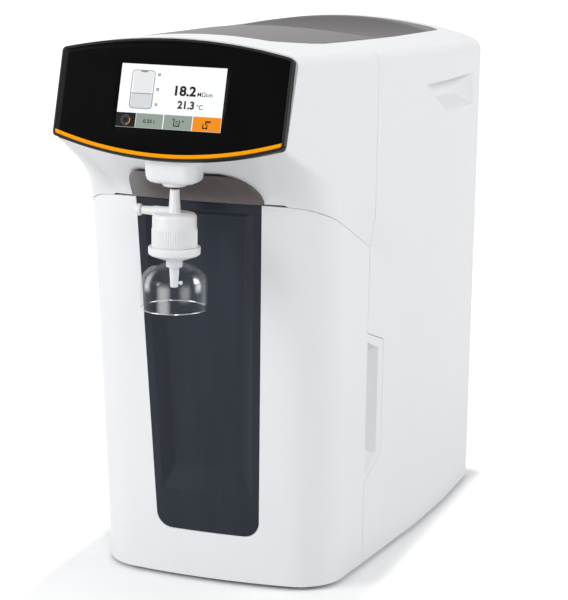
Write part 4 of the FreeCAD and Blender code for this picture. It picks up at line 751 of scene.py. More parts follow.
def front_stations():
    """Outer and inner points of the hood's ramp, from the middle of the display to the cover seam."""
    centre, front_end, side_start = door_corner(DOOR_TOP)
    half = wide_half(EDGE_START)
    last = math.atan2(side_start.y - centre.y, side_start.x - centre.x)
    rows = []
    for share in steps_between(0, DISPLAY_SHARE, DISPLAY_COLUMNS):
        outer = on_display(half * share, -DISPLAY_SAG * (1 - share * share), -DISPLAY_THICK)
        x = front_end.x * share / DISPLAY_SHARE
        rows.append((outer, Vector((x, door_front(x, DOOR_TOP), DOOR_TOP)), 1.0))
    lip = on_arch(EDGE_START)
    fronts = [(rows[-1][0].lerp(lip, share), mix(1.0, LIP_HOLLOW, share)) for share in LIP_SHARES]
    depths = steps_between(EDGE_START, SEAM_Y - SEAM / 2, ARCH_COLUMNS)[1:]
    fronts += [(on_arch(y), hollow_at(y)) for y in depths]
    for outer, hollow in fronts:
        angle = math.atan2(outer.y - centre.y, outer.x - centre.x)
        if angle < last:
            x = centre.x + DOOR_CORNER * math.cos(angle)
            y = centre.y + DOOR_CORNER * math.sin(angle)
        else:
            y = max(side_start.y, outer.y)
            x = mix(side_start.x, SEAM_HALF, (y - side_start.y) / (SEAM_Y - side_start.y))
        rows.append((outer, Vector((x, y, seam_z(y))), hollow))
    return rows


def rear_stations():
    """Outer and inner points of the ramp down to the column's foot, and how many lie above the column."""
    rows = []
    out_start, in_start = ARCH_COLUMN_Y - ARCH_BEND, COLUMN_INNER_Y - COLUMN_BEND
    knee_out = out_start + ARCH_BEND * math.cos(OUTER_SWING)
    knee_in = in_start + COLUMN_BEND * math.cos(INNER_SWING)
    start = SEAM_Y + SEAM / 2
    for share in steps_between(0, 1, SEAM_COLUMNS)[:-1]:
        y = mix(start, knee_in, share)
        rows.append((on_arch(mix(start, knee_out, share)), inner_edge(y, seam_z(y))))
    for share in steps_between(0, 1, KNEE_COLUMNS):
        a, b = OUTER_SWING * (1 - share), INNER_SWING * (1 - share)
        y = out_start + ARCH_BEND * math.cos(a)
        outer = Vector((wide_half(y), y, OUTER_END + ARCH_BEND * math.sin(a)))
        inner = inner_edge(in_start + COLUMN_BEND * math.cos(b), INNER_END + COLUMN_BEND * math.sin(b))
        rows.append((outer, inner))
    above = len(rows)
    for share in steps_between(0, 1, FOOT_COLUMNS)[1:]:
        outer = Vector((wide_half(ARCH_COLUMN_Y), ARCH_COLUMN_Y, mix(OUTER_END, FLOOR_GAP, share)))
        rows.append((outer, inner_edge(COLUMN_INNER_Y, mix(INNER_END, FLOOR_GAP, share))))
    return rows, above


def shoulder(edge, inward):
    """Rounding between the wall's top, at the plan point edge, and the roof."""
    corner = Vector((edge.x, edge.y, roof_z(edge.x, edge.y)))
    low = corner - Vector((0, 0, ROOF_EDGE))
    step = edge + inward * ROOF_EDGE
    high = Vector((step.x, step.y, roof_z(step.x, step.y)))
    return [curve(low, corner, high, t) for t in steps_between(0, 1, SHOULDER_ROWS)]


def front_wall_column(bottom):
    """Wall, shoulder and roof of the hood above one point of the arch's edge, as far as the middle."""
    share = (bottom.y - EDGE_START) / (SEAM_Y - SEAM / 2 - EDGE_START)

    def depth(z):
        return mix(display_back(z), SEAM_Y - SEAM / 2, share)

    top_y = settled(lambda y: depth(roof_z(wide_half(y), y) - ROOF_EDGE), bottom.y)
    top_z = roof_z(wide_half(top_y), top_y) - ROOF_EDGE
    column = []
    for t in steps_between(0, 1, WALL_ROWS):
        y = mix(bottom.y, top_y, t)
        column.append(Vector((wide_half(y), y, mix(bottom.z, top_z, t))))
    bend = shoulder(Vector((wide_half(top_y), top_y)), Vector((-1, 0)))
    column += [Vector((p.x, depth(p.z), p.z)) for p in bend[1:]]
    for x in steps_between(column[-1].x, 0, ROOF_COLUMNS)[1:]:
        y = settled(lambda y: depth(roof_z(x, y)), bottom.y)
        column.append(Vector((x, y, roof_z(x, y))))
    return column


def wall_column(bottom):
    """The same above a point behind the cover seam, at one depth."""
    edge = Vector((bottom.x, bottom.y))
    bend = shoulder(edge, Vector((-1, 0)))
    column = [bottom.lerp(bend[0], t) for t in steps_between(0, 1, WALL_ROWS)]
    column += bend[1:]
    for x in steps_between(column[-1].x, 0, ROOF_COLUMNS)[1:]:
        column.append(Vector((x, bottom.y, roof_z(x, bottom.y))))
    return column


def edge_bevelled(piece, path):
    """Rounds the mesh edges that lie along a path of points, on both sides of the middle."""
    weights = piece.data.attributes.new("bevel_weight_edge", "FLOAT", "EDGE")
    marks = [Vector(p) * MM for p in path]
    for edge in piece.data.edges:
        ends = [piece.data.vertices[v].co for v in edge.vertices]
        if all(any((Vector((abs(e.x), e.y, e.z)) - m).length < EDGE_NEAR * MM for m in marks) for e in ends):
            weights.data[edge.index].value = 1.0
    return modified(piece, "BEVEL", width=EDGE_BEVEL * MM, segments=EDGE_SEGMENTS, limit_method="WEIGHT")


def hood_skin():
    """The hood's outer skin, and the arch's outer edge on it."""
    stations = front_stations()
    ramp = [ramp_section(outer, inner, hollow, RAMP_ROWS) for outer, inner, hollow in stations]
    edge = [outer for outer, _, _ in stations[EDGE_ROW:]]
    wall = [front_wall_column(outer) for outer in edge]
    skin = both_halves(quilt("hood", [ramp, wall]))
    return skin, edge


def rear_skin():
    """The rear cover's outer skin, and the arch's and the column's outer edge on it."""
    stations, above = rear_stations()
    ramp = [ramp_section(outer, inner, REAR_HOLLOW, RAMP_ROWS) for outer, inner in stations]
    edge = [outer for outer, _ in stations]
    depths = steps_between(ARCH_COLUMN_Y, REAR_Y - REAR_CORNER, REAR_COLUMNS)[1:]
    sides = edge[:above] + [Vector((wide_half(y), y, OUTER_END)) for y in depths]
    wall = [wall_column(p) for p in sides]

    # round the rear corner and along the rear face, with the roof closed by one strip
    centre = Vector((REAR_HALF - REAR_CORNER, REAR_Y - REAR_CORNER))
    plan = []
    for a in steps_between(0, math.pi / 2, CORNER_COLUMNS):
        way = Vector((math.cos(a), math.sin(a)))
        plan.append((centre + way * REAR_CORNER, -way))
    for x in steps_between(centre.x, 0, ROOF_COLUMNS - CORNER_COLUMNS)[1:]:
        plan.append((Vector((x, REAR_Y)), Vector((0, -1))))
    back, ring = [], []
    for p, inward in plan:
        bend = shoulder(p, inward)
        foot = Vector((p.x, p.y, OUTER_END))
        back.append([foot.lerp(bend[0], t) for t in steps_between(0, 1, WALL_ROWS)] + bend[1:])
        ring.append(bend[-1])
    strip = [wall[-1][-ROOF_COLUMNS - 1:], ring]

    # the column below the arch, and the recessed flank in front of it
    low_rows = [p.z for p in edge[above - 1:]]
    feet = [Vector((wide_half(y), y)) for y in [ARCH_COLUMN_Y] + depths] + [p for p, _ in plan[1:]]
    column = [[Vector((p.x, p.y, z)) for z in low_rows] for p in feet]
    inner = [p for _, p in stations]
    flank_high = [[Vector((p.x, p.y, mix(INNER_END, p.z, t))) for t in steps_between(0, 1, FLANK_ROWS)]
                  for p in inner[:above]]
    flank_low = [[Vector((p.x, p.y, q.z)) for q in inner[above - 1:]] for p in inner[:above]]
    skin = both_halves(quilt("rear", [ramp, wall, back, strip, column, flank_high, flank_low]))
    return skin, edge


# ================================================================ lid
LID_FRONT_Y, LID_REAR_Y, LID_TURN_Y, LID_FRONT_HALF, LID_CORNER = -171.0, 243.0, -100.0, 57.0, 12.0
LID_MARKS = ((-100.0, 85.2), (-67.0, 88.0), (0.0, 92.0), (79.0, 96.0), (152.0, 97.2), (231.0, 98.0))
LID_FRONT_BEND = 1.6                                 # how squarely the front corners turn
LID_STEPS, LID_START, LID_STOP = (0, 0.6, 1.6, 3, 5, 8), 12, 3   # from its front, and where the even rows run
LID_ROWS, LID_COLUMNS, LID_CORNER_ROWS = 110, 24, 6
LID_THICK, LID_GAP, LID_EDGE = 2.7, 0.4, 0.5
LID_EDGE_FROM = 60                                   # degrees: its edges that turn by more are softened
LID_CUT = (440.0, 540.0)                             # heights between which the covers are opened for it
LEDGE_WIDE, LEDGE_THICK, LEDGE_GAP, WELL_DROP = 4.0, 2.0, 0.3, 1.0     # of the wall round its opening
SCOOP_Y, SCOOP_REACH, SCOOP_DEPTH, CREST = 126.0, 117.0, 19.0, 0.6   # its dish, and the softness of the crest
SCOOP_RADIUS = (SCOOP_REACH ** 2 + SCOOP_DEPTH ** 2) / (2 * SCOOP_DEPTH)


def lid_half(y):
    """Half width of the lid at a depth y, before its rear corner."""
    if y < LID_TURN_Y:
        share = (LID_TURN_Y - y) / (LID_TURN_Y - LID_FRONT_Y)
        return LID_FRONT_HALF + (LID_MARKS[0][1] - LID_FRONT_HALF) * (1 - share ** LID_FRONT_BEND)
    for (y0, x0), (y1, x1) in zip(LID_MARKS, LID_MARKS[1:]):
        if y <= y1:
            return mix(x0, x1, (y - y0) / (y1 - y0))
    over = min(LID_CORNER, y - (LID_REAR_Y - LID_CORNER))
    return LID_MARKS[-1][1] - LID_CORNER + math.sqrt(max(0.0, LID_CORNER ** 2 - over ** 2))


def lid_z(x, y):
    """Top of the lid: the roof, dished at the rear by a lying cylinder, with a soft crest between the two."""
    dish = roof_z(0, SCOOP_Y) - SCOOP_DEPTH + SCOOP_RADIUS - math.sqrt(SCOOP_RADIUS ** 2 - (y - SCOOP_Y) ** 2)
    roof = roof_z(x, y)
    lower = 0.5 * (roof + dish - math.sqrt((roof - dish) ** 2 + CREST ** 2))
    return lower + 0.5 * CREST ** 2 / (abs(roof - dish) + CREST)


def lid_depths():
    """Depths of the lid's rows, closer together at its front and round its rear corners."""
    front = [LID_FRONT_Y + d for d in LID_STEPS]
    turn_y = LID_REAR_Y - LID_CORNER
    rear = [turn_y + LID_CORNER * math.sin(a) for a in steps_between(0, math.pi / 2, LID_CORNER_ROWS)]
    return front + steps_between(LID_FRONT_Y + LID_START, turn_y - LID_STOP, LID_ROWS) + rear


def lid_edge():
    """The lid's plan outline, right half, from the middle of its front to the middle of its rear."""
    side = [Vector((lid_half(y), y)) for y in lid_depths()]
    return [Vector((0, LID_FRONT_Y))] + side + [Vector((0, LID_REAR_Y))]


def offset(path, grow):
    """A half outline moved outwards, its ends kept on the middle line."""
    out = []
    for i, p in enumerate(path):
        before, after = path[max(0, i - 1)], path[min(len(path) - 1, i + 1)]
        way = (after - before).normalized()
        moved = p + Vector((way.y, -way.x)) * grow
        out.append(Vector((0 if i in (0, len(path) - 1) else max(0, moved.x), moved.y)))
    return out


def whole(path):
    """A closed outline from a right half."""
    return [tuple(p) for p in path] + [(-p.x, p.y) for p in reversed(path[1:-1])]


def lid_cutter():
    """What the covers are opened with for the lid and its gap."""
    return prism("lid_cutter", whole(offset(lid_edge(), LID_GAP)), *LID_CUT)


def make_lid():
    rows = []
    for y in lid_depths():
        half = max(1.0, lid_half(y))
        rows.append([Vector((half * t, y, lid_z(half * t, y))) for t in steps_between(0, 1, LID_COLUMNS)])
    lid = walled(both_halves(quilt("lid_panel", [rows])), LID_THICK)
    edge_softened(lid, LID_EDGE, LID_EDGE_FROM)
    finished(lid, "lid", "lid_grey", "top_lid", angle=ROUND_ANGLE)


def make_well():
    """The wall round the lid's opening, with the ledge that the lid lies on."""
    edge = lid_edge()
    gap, outer, ledge = offset(edge, LID_GAP), offset(edge, WALL), offset(edge, -LEDGE_WIDE)
    rows = []
    for p, a, b, c in zip(edge, gap, outer, ledge):
        top, low = roof_z(a.x, a.y) - WELL_DROP, lid_z(p.x, p.y) - LID_THICK - LEDGE_GAP
        under = low - LEDGE_THICK
        section = ((a, top), (a, low), (c, low), (c, under), (b, under), (b, top - WELL_DROP), (a, top))
        rows.append([Vector((side.x, side.y, z)) for side, z in section])
    finished(both_halves(quilt("lid_well", [rows])), "housing", "white_cover")


# ================================================================ hood
INSERT_HALF, INSERT_TOP, INSERT_SHOULDER, INSERT_GAP = 62.0, 397.0, 36.0, 0.3
INSERT_TUCK, INSERT_LOW = 20.0, 0.4          # how far below the door's top its opening and the piece end
INSERT_ROWS, INSERT_ARC = 16, 14
FRONT_CUT = (-300.0, -150.0)                 # depths between which the hood is opened for it


def insert_outline(inset, low):
    """Front view of the dark piece under the hood, from a height low upwards."""
    wide, top = INSERT_HALF - inset, INSERT_TOP - inset
    across, up = wide - INSERT_SHOULDER, top - DOOR_TOP
    arc = [(INSERT_SHOULDER + across * math.cos(a), DOOR_TOP + up * math.sin(a))
           for a in steps_between(0, math.pi / 2, INSERT_ARC)]
    right = [(wide, low)] + arc
    return right + [(-x, z) for x, z in reversed(right)]


def make_hood():
    skin, edge = hood_skin()
    edge_bevelled(skin, edge)
    walled(skin)
    cut(skin, lid_cutter())
    cut(skin, prism("insert_cutter", insert_outline(0, DOOR_TOP - INSERT_TUCK), *FRONT_CUT, "Y"))
    finished(skin, "housing", "white_cover", "hood_shell")


def make_underside():
    """The dark piece: the middle of the hood's ramp, trimmed to its outline."""
    stations = front_stations()[:DISPLAY_COLUMNS + 2]
    ramp = [ramp_section(outer, inner, hollow, INSERT_ROWS) for outer, inner, hollow in stations]
    piece = walled(both_halves(quilt("underside", [ramp])))
    outline = insert_outline(INSERT_GAP, DOOR_TOP - INSERT_LOW)
    cut(piece, prism("insert_outline", outline, *FRONT_CUT, "Y"), "INTERSECT")
    finished(piece, "housing", "dark_underside", "underside_insert")


# ================================================================ rear cover
PANEL_HALF, PANEL_LOW, PANEL_HIGH, PANEL_INSET, PANEL_RADIUS = 102.0, 24.0, 300.0, 28.0, 5.0
PANEL_CORNERS = ((-PANEL_HALF, PANEL_LOW), (PANEL_HALF, PANEL_LOW), (PANEL_HALF, PANEL_HIGH),
                 (-PANEL_HALF, PANEL_HIGH))
TUNNEL_START = 1.0                           # the tunnel round the panel begins this far inside the rear face
REAR_CUT = (240.0, 290.0)                    # depths between which the rear face is opened for the panel
HOLD_DEEP, HOLD_WALL, HOLD_GROW = 14.0, 3.0, 4.0     # hand recess: depth, and the wall behind and round it
OVERLAP, SINK = 3.0, 0.4                     # how far cutters stand out of a face, and walls lie behind it
HOLD_OUTER = ((125.0, 417.0), (150.0, 416.2), (219.0, 414.0), (219.0, 446.0), (140.0, 447.5), (100.0, 448.3),
              (63.0, 449.0))
HOLD_INNER = ((105.0, 431.0), (127.9, 430.2), (191.0, 428.0), (200.0, 444.0), (140.8, 445.0), (110.8, 445.5),
              (83.0, 446.0))
FLAP = ((-72.0, 82.0), (-29.0, 104.0), (-29.0, 216.0), (-72.0, 231.0))
FLAP_ROOM = 2.0                              # how much deeper than the door's flap the notch for it is


def pocket(name, half, outer, inner, deep, out, grow=0.0):
    """A tapered block in both sides, whose faces lie half(y) from the middle.

    It runs from `out` outside the face to `deep` behind it. Its (y, z) outline is outer at the face and inner
    at its floor, and both grow by `grow` all round.
    """
    count = len(outer)

    def ring(points, depth):
        corners = [Vector(p) for p in points]
        sides = [(corners[(i + 1) % count] - corners[i]).normalized() for i in range(count)]
        normals = [Vector((d.y, -d.x)) for d in sides]
        grown = [p + (normals[i - 1] + normals[i]) * (grow / (1 + normals[i - 1].dot(normals[i])))
                 for i, p in enumerate(corners)]
        return [Vector((half(p.x) - depth, p.x, p.y)) for p in grown]

    share = -out / deep
    spread = [(mix(o[0], i[0], share), mix(o[1], i[1], share)) for o, i in zip(outer, inner)]
    a, b = ring(spread, -out), ring(inner, deep)
    faces = [tuple(range(count)), tuple(range(2 * count - 1, count - 1, -1))]
    for i in range(count):
        j = (i + 1) % count
        faces += [(i, i + count, j + count), (i, j + count, j)]
    right = mesh_piece(name, a + b, faces)
    return modified(merged(right), "MIRROR", use_axis=(True, False, False), use_mirror_merge=False)


def make_rear():
    skin, edge = rear_skin()
    edge_bevelled(skin, edge)
    walled(skin)
    hold = (wide_half, HOLD_OUTER, HOLD_INNER)
    cut(skin, pocket("hold_wall", *hold, HOLD_DEEP + HOLD_WALL, -SINK, HOLD_GROW), "UNION")
    cut(skin, pocket("hold_space", *hold, HOLD_DEEP, OVERLAP))
    cut(skin, pocket("flap_space", lower_half, FLAP, FLAP, WALL + FLAP_ROOM, OVERLAP, SEAM))
    cut(skin, lid_cutter())
    cut(skin, prism("panel_cutter", rounded(PANEL_CORNERS, PANEL_RADIUS), *REAR_CUT, "Y"))
    finished(skin, "housing", "white_cover", "rear_cover")


def make_panel_frame():
    """The short tunnel in the rear face, in front of the rear panel."""
    middle = (PANEL_LOW + PANEL_HIGH) / 2
    grown = [(math.copysign(abs(x) + WALL, x), z + math.copysign(WALL, z - middle)) for x, z in PANEL_CORNERS]
    inner, outer = rounded(PANEL_CORNERS, PANEL_RADIUS), rounded(grown, PANEL_RADIUS + WALL)
    back, front = REAR_Y - PANEL_INSET, REAR_Y - TUNNEL_START
    rings = [[Vector((x, y, z)) for x, z in line + line[:1]]
             for line, y in ((inner, front), (outer, front), (outer, back), (inner, back), (inner, front))]
    finished(quilt("panel_tunnel", [rings]), "housing", "white_cover")


# ================================================================ front door and its niche
NICHE = dict(low=50.1, top=59.6, z_low=50.0, corner=15.0)
TRAY = dict(low=43.8, top=51.5, z_low=89.0, z_top=358.0, corner=0.0)
TRAY_DEPTH, TRAY_SLOPE, TRAY_LEDGE = 9.0, 10.5, 24.0
NICHE_FIT, NICHE_BEVEL = 0.4, 0.9            # how far inside its opening the niche lies, and its soft edges
NICHE_ABOVE, NICHE_FLARE = 10.0, 0.3         # the opening's cutter runs on above the door, a little wider
NICHE_CUT = (-300.0, -100.0)                 # depths between which the door is opened for it
GRIP_DEEP, GRIP_WALL, GRIP_SINK, DOOR_GAP, NICHE_GAP = 10.0, 2.5, 1.5, 0.22, 1.4
FRONT_COLUMNS, DOOR_CORNER_COLUMNS, SIDE_COLUMNS, DOOR_ROWS = 14, 12, 14, 24
NICHE_ROWS, NICHE_COLUMNS, NICHE_STEPS = 24, 8, 10
NICHE_BEVEL_FROM = 20                        # degrees: its edges that turn by more are softened
GRIP_MOUTH = ((-67.0, 93.0), (-41.0, 107.0), (-41.0, 211.0), (-67.0, 221.0))
GRIP_FLOOR = ((-66.0, 97.0), (-43.0, 109.0), (-43.0, 209.0), (-66.0, 217.0))


def door_point(zone, share, z):
    """A point of the door's skin at height z: along its front, its rounded corner or its side."""
    centre, front_end, side_start = door_corner(z)
    if zone == "front":
        x = front_end.x * share
        return Vector((x, door_front(x, z), z))
    if zone == "corner":
        first = math.atan2(front_end.y - centre.y, front_end.x - centre.x)
        last = math.atan2(side_start.y - centre.y, side_start.x - centre.x)
        a = mix(first, last, share)
        return Vector((centre.x + DOOR_CORNER * math.cos(a), centre.y + DOOR_CORNER * math.sin(a), z))
    p = side_start.lerp(Vector((SEAM_HALF, SEAM_Y)), share * (1 - SEAM / 2 / (SEAM_Y - side_start.y)))
    return Vector((p.x, p.y, z))


def make_door():
    places = [("front", t) for t in steps_between(0, 1, FRONT_COLUMNS)]
    places += [("corner", t) for t in steps_between(0, 1, DOOR_CORNER_COLUMNS)[1:]]
    places += [("side", t) for t in steps_between(0, 1, SIDE_COLUMNS)[1:]]
    columns = []
    for zone, share in places:
        top = settled(lambda z: seam_z(door_point(zone, share, z).y), DOOR_TOP)
        heights = steps_between(FLOOR_GAP, top - DOOR_GAP, DOOR_ROWS)
        columns.append([door_point(zone, share, z) for z in heights])
    door = walled(both_halves(quilt("door", [columns])))
    low, top, above = NICHE["low"], NICHE["top"] + NICHE_FLARE, DOOR_TOP + NICHE_ABOVE
    outline = rounded([(-low, NICHE["z_low"]), (low, NICHE["z_low"]), (top, above), (-top, above)],
                      [NICHE["corner"], NICHE["corner"], 0, 0], NICHE_STEPS)
    cut(door, prism("niche_cutter", outline, *NICHE_CUT, "Y"))
    cut(door, pocket("flap", lower_half, FLAP, FLAP, WALL, 0.0), "UNION")
    grip = (lower_half, GRIP_MOUTH, GRIP_FLOOR)
    cut(door, pocket("grip_wall", *grip, GRIP_DEEP + GRIP_WALL, -GRIP_SINK, GRIP_WALL), "UNION")
    cut(door, pocket("grip_space", *grip, GRIP_DEEP, OVERLAP))
    finished(door, "front_door", "white_cover", "front_cover")


def half_ring(low, top, z_low, z_top, corner):
    """Right half of a niche outline, from the middle of its bottom to the middle of its top."""
    def half(z):
        return mix(low, top, (z - z_low) / (z_top - z_low))

    points = [((half(z_low) - corner) * t, z_low) for t in steps_between(0, 1, NICHE_COLUMNS)]
    centre = (half(z_low + corner) - corner, z_low + corner)
    points += [(centre[0] + corner * math.sin(a), centre[1] - corner * math.cos(a))
               for a in steps_between(0, math.pi / 2, NICHE_COLUMNS)[1:]]
    points += [(half(z), z) for z in steps_between(z_low + corner, z_top, NICHE_ROWS)[1:]]
    return points + [(top * (1 - t), z_top) for t in steps_between(0, 1, NICHE_COLUMNS)[1:]]


def make_niche():
    """The dark insert: a rim in the door's face, sloping sides and a sunk bed."""
    def on_door(points, deep=0.0):
        return [Vector((x, door_front(x, z) + deep, z)) for x, z in points]

    face = half_ring(NICHE["low"] - NICHE_FIT, NICHE["top"] - NICHE_FIT, NICHE["z_low"] + NICHE_FIT,
                     DOOR_TOP - NICHE_GAP, NICHE["corner"])
    rim = half_ring(**TRAY)
    bed_low, bed_top = TRAY["z_low"] + TRAY_LEDGE, TRAY["z_top"] - TRAY_SLOPE * 0.5
    bed = half_ring(TRAY["low"] - TRAY_SLOPE, TRAY["top"] - TRAY_SLOPE, bed_low, bed_top, 0.0)
    bed_rows = []
    for z in steps_between(bed_low, bed_top, NICHE_ROWS):
        half = mix(TRAY["low"], TRAY["top"], (z - bed_low) / (bed_top - bed_low)) - TRAY_SLOPE
        bed_rows.append(on_door([(half * t, z) for t in steps_between(0, 1, NICHE_COLUMNS)], TRAY_DEPTH))
    patches = [[on_door(face), on_door(rim)], [on_door(rim), on_door(bed, TRAY_DEPTH)], bed_rows]
    tray = both_halves(quilt("niche_panel", patches))
    edge_softened(tray, NICHE_BEVEL, NICHE_BEVEL_FROM, 3)
    finished(walled(tray), "front_door", "dark_niche", "niche_insert")


# ================================================================ dispensing point
# A profile is a line of (radius, height) points. Heights are above the bench, and for the vent arm, its
# wheel and the nib they are lengths away from the spout's line.
BOSS_HALF, BOSS_DEEP, BOSS_RADIUS, BOSS_LEAST, BOSS_STEPS = 24.0, 17.0, 11.0, 2.0, 8
BOSS_SHARPER = 0.6                           # how much a corner's radius shrinks with the inset
BOSS_LEVELS = ((390.3, 8.5), (390.6, 5.8), (391.6, 3.4), (393.4, 1.5), (396.2, 0.4), (401.0, 0.0),
               (418.0, -1.0))                # heights, and how far in its outline lies there
RING = ((4.2, 391.0), (10.8, 391.0), (10.8, 388.8), (9.8, 387.6), (4.2, 387.5))
SEAL = ((2.9, 390.5), (4.2, 390.5), (4.2, 385.9), (3.8, 385.2), (2.9, 385.2))
CAPSULE = ((0, 391), (2.4, 391), (2.6, 390.6), (2.6, 384.9), (4.1, 384.7), (4.3, 380), (5.2, 366.2),
           (6.0, 364.7), (15.8, 364.1), (17.6, 363.6), (18.7, 362.4), (19.2, 360.4), (19.3, 335.6),
           (18.9, 335.2), (0, 335.2))
RIBS_RADIUS, RIBS_DEEP, RIBS_FOOT, RIBS_HIGH, RIBS_SIDES = 19.4, 0.34, 335.3, 15.2, 256
CAPSULE_BASE = ((0, 335), (21.6, 335), (22.4, 334.6), (22.6, 334), (22.6, 329.4), (22.3, 328.6),
                (21.4, 328.1), (9, 323.6), (7.4, 322.8), (7.1, 321.6), (7.1, 317.4), (6.7, 317), (0, 317))
BASE_RIB = ((8, 322.8), (21, 327.5), (21, 328.6), (8, 325))
BASE_RIBS, BASE_RIB_HALF = 16, 0.5
VENT_Z = 364.6
VENT_ARM = ((0, 3), (4.4, 3), (4.4, 19.4), (3.9, 20.0), (3.6, 29.7), (3.1, 30.2), (0, 30.2))
VENT_WHEEL = ((0, 30.5), (3.4, 30.5), (4.9, 31.0), (5.2, 31.8), (5.2, 34.2), (4.7, 35.0), (3.4, 35.3),
              (3.0, 36.0), (0, 36.2))
NOZZLE = ((2.0, 317), (4.2, 317), (4.2, 312), (3.9, 309), (3.5, 300), (3.2, 299.2), (2.6, 299), (2.0, 299.4))
NIB = ((0, 0), (1.0, 0.2), (1.1, 2.4), (1.6, 2.8), (1.7, 3.9), (1.2, 4.6), (0, 4.8))
NIB_X, NIB_Z = 2.8, 303.2
BELL_OUTER, BELL_INNER, BELL_MOUTH = 29.3, 28.1, 28.3
BELL_SHOULDER, BELL_RISE, BELL_INNER_RISE = 303.0, 19.0, 17.7    # its height, and how far it rises from there
BELL_NECK, BELL_ROWS, BELL_STEPS = 0.28, 16, 128     # the shoulder stops at this angle from upright
BELL_HEIGHTS, BELL_CHAMFER, BELL_FOOT = (298, 290, 283), 281.4, 280.6
BELL_BEAD = ((28.6, 281.4), (29.1, 281.2), (29.26, 280.8), (29.0, 280.4), (28.5, 280.35), (28.4, 280.9))
ARM_STEPS, NOZZLE_STEPS, NIB_STEPS, WHEEL_STEPS = 40, 48, 24, 32     # steps that each is turned in
CAPSULE_ANGLE, BOSS_ANGLE, WHEEL_ANGLE = 35, 50, 50      # degrees between faces that shade as one


def lofted(name, rings):
    """A closed body through rings of points: each ring is drawn, all are bridged, and the ends are filled."""
    piece = begun(name)
    for ring in rings:
        drawn(list(ring) + [ring[0]])
    bpy.ops.mesh.select_all(action="SELECT")
    bpy.ops.mesh.remove_doubles(threshold=FINE_MERGE * MM)
    bpy.ops.mesh.bridge_edge_loops()
    bpy.ops.mesh.select_all(action="SELECT")
    bpy.ops.mesh.fill_holes(sides=0)
    bpy.ops.object.mode_set(mode="OBJECT")
    return merged(piece)


def make_boss():
    rings = []
    for z, inset in BOSS_LEVELS:
        wide, deep = BOSS_HALF - inset, BOSS_DEEP - inset
        radius = max(BOSS_LEAST, BOSS_RADIUS - inset * BOSS_SHARPER)
        corners = [(-wide, -deep), (wide, -deep), (wide, deep), (-wide, deep)]
        rings.append([Vector((x, SPOUT_Y + y, z)) for x, y in rounded(corners, radius, BOSS_STEPS)])
    finished(lofted("outlet_block", rings), "housing", "white_cover", "outlet_boss", angle=BOSS_ANGLE)
    ring = turned("outlet_collar", RING, (0, SPOUT_Y, 0), closed=True)
    finished(ring, "housing", "white_cover", "outlet_ring")
    seal = turned("outlet_gasket", SEAL, (0, SPOUT_Y, 0), closed=True)
    finished(seal, "housing", "black_plastic", "outlet_seal")


def make_capsule_ribs():
    """The fine upright ribs round the capsule's foot: of four edges one is drawn out and one pushed in."""
    cleared()
    bpy.ops.mesh.primitive_cylinder_add(vertices=RIBS_SIDES, radius=RIBS_RADIUS * MM, depth=RIBS_HIGH * MM,
                                        location=(0, SPOUT_Y * MM, (RIBS_FOOT + RIBS_HIGH / 2) * MM))
    ribs = bpy.context.active_object
    ribs.name = "capsule_ribs"
    bpy.ops.object.mode_set(mode="EDIT")
    for turn, grow in ((0, 1), (2, -1)):
        bpy.ops.mesh.select_all(action="DESELECT")
        bpy.ops.object.mode_set(mode="OBJECT")
        for point in ribs.data.vertices:
            place = round(math.atan2(point.co.y, point.co.x) / (2 * math.pi) * RIBS_SIDES) % 4
            point.select = place == turn
        bpy.ops.object.mode_set(mode="EDIT")
        wide = 1 + grow * RIBS_DEEP / RIBS_RADIUS
        bpy.ops.transform.resize(value=(wide, wide, 1), center_override=(0, SPOUT_Y * MM, 0))
    bpy.ops.object.mode_set(mode="OBJECT")
    finished(ribs, "filter", "filter_white", angle=RIB_ANGLE)


def make_base_ribs():
    """The stiffening ribs under the capsule's flange: one is shaped, and the rest are copies of it."""
    first = prism("base_rib_00", BASE_RIB, -BASE_RIB_HALF, BASE_RIB_HALF, "Y")
    ribs = [first]
    for i in range(1, BASE_RIBS):
        copy = first.copy()
        copy.data = first.data.copy()
        copy.name = "base_rib_%02d" % i
        bpy.context.scene.collection.objects.link(copy)
        ribs.append(copy)
    for i, rib in enumerate(ribs):
        rib.location = Vector((0, SPOUT_Y, 0)) * MM
        rib.rotation_euler = (0, 0, 2 * math.pi * i / BASE_RIBS)
        finished(rib, "filter", "filter_white")


def make_filter():
    capsule = turned("capsule", CAPSULE, (0, SPOUT_Y, 0))
    finished(capsule, "filter", "filter_white", "filter_capsule_top", angle=CAPSULE_ANGLE)
    make_capsule_ribs()
    arm = turned("vent_arm", VENT_ARM, (0, SPOUT_Y, VENT_Z), steps=ARM_STEPS, lean=LEFTWARD)
    finished(arm, "filter", "filter_white")
    base = turned("capsule_base", CAPSULE_BASE, (0, SPOUT_Y, 0))
    finished(base, "filter", "filter_white", "filter_capsule_base", angle=CAPSULE_ANGLE)
    make_base_ribs()
    nozzle = turned("nozzle", NOZZLE, (0, SPOUT_Y, 0), closed=True, steps=NOZZLE_STEPS)
    finished(nozzle, "filter", "filter_white", "outlet_nozzle")
    nib = turned("nozzle_nib", NIB, (NIB_X, SPOUT_Y, NIB_Z), steps=NIB_STEPS, lean=RIGHTWARD)
    finished(nib, "filter", "filter_white")
    make_bell()
    make_vent_wheel()


def bell_shoulder(radius, rise, start, end):
    angles = steps_between(start, end, BELL_ROWS)
    return [(radius * math.sin(a), BELL_SHOULDER + rise * math.cos(a)) for a in angles]


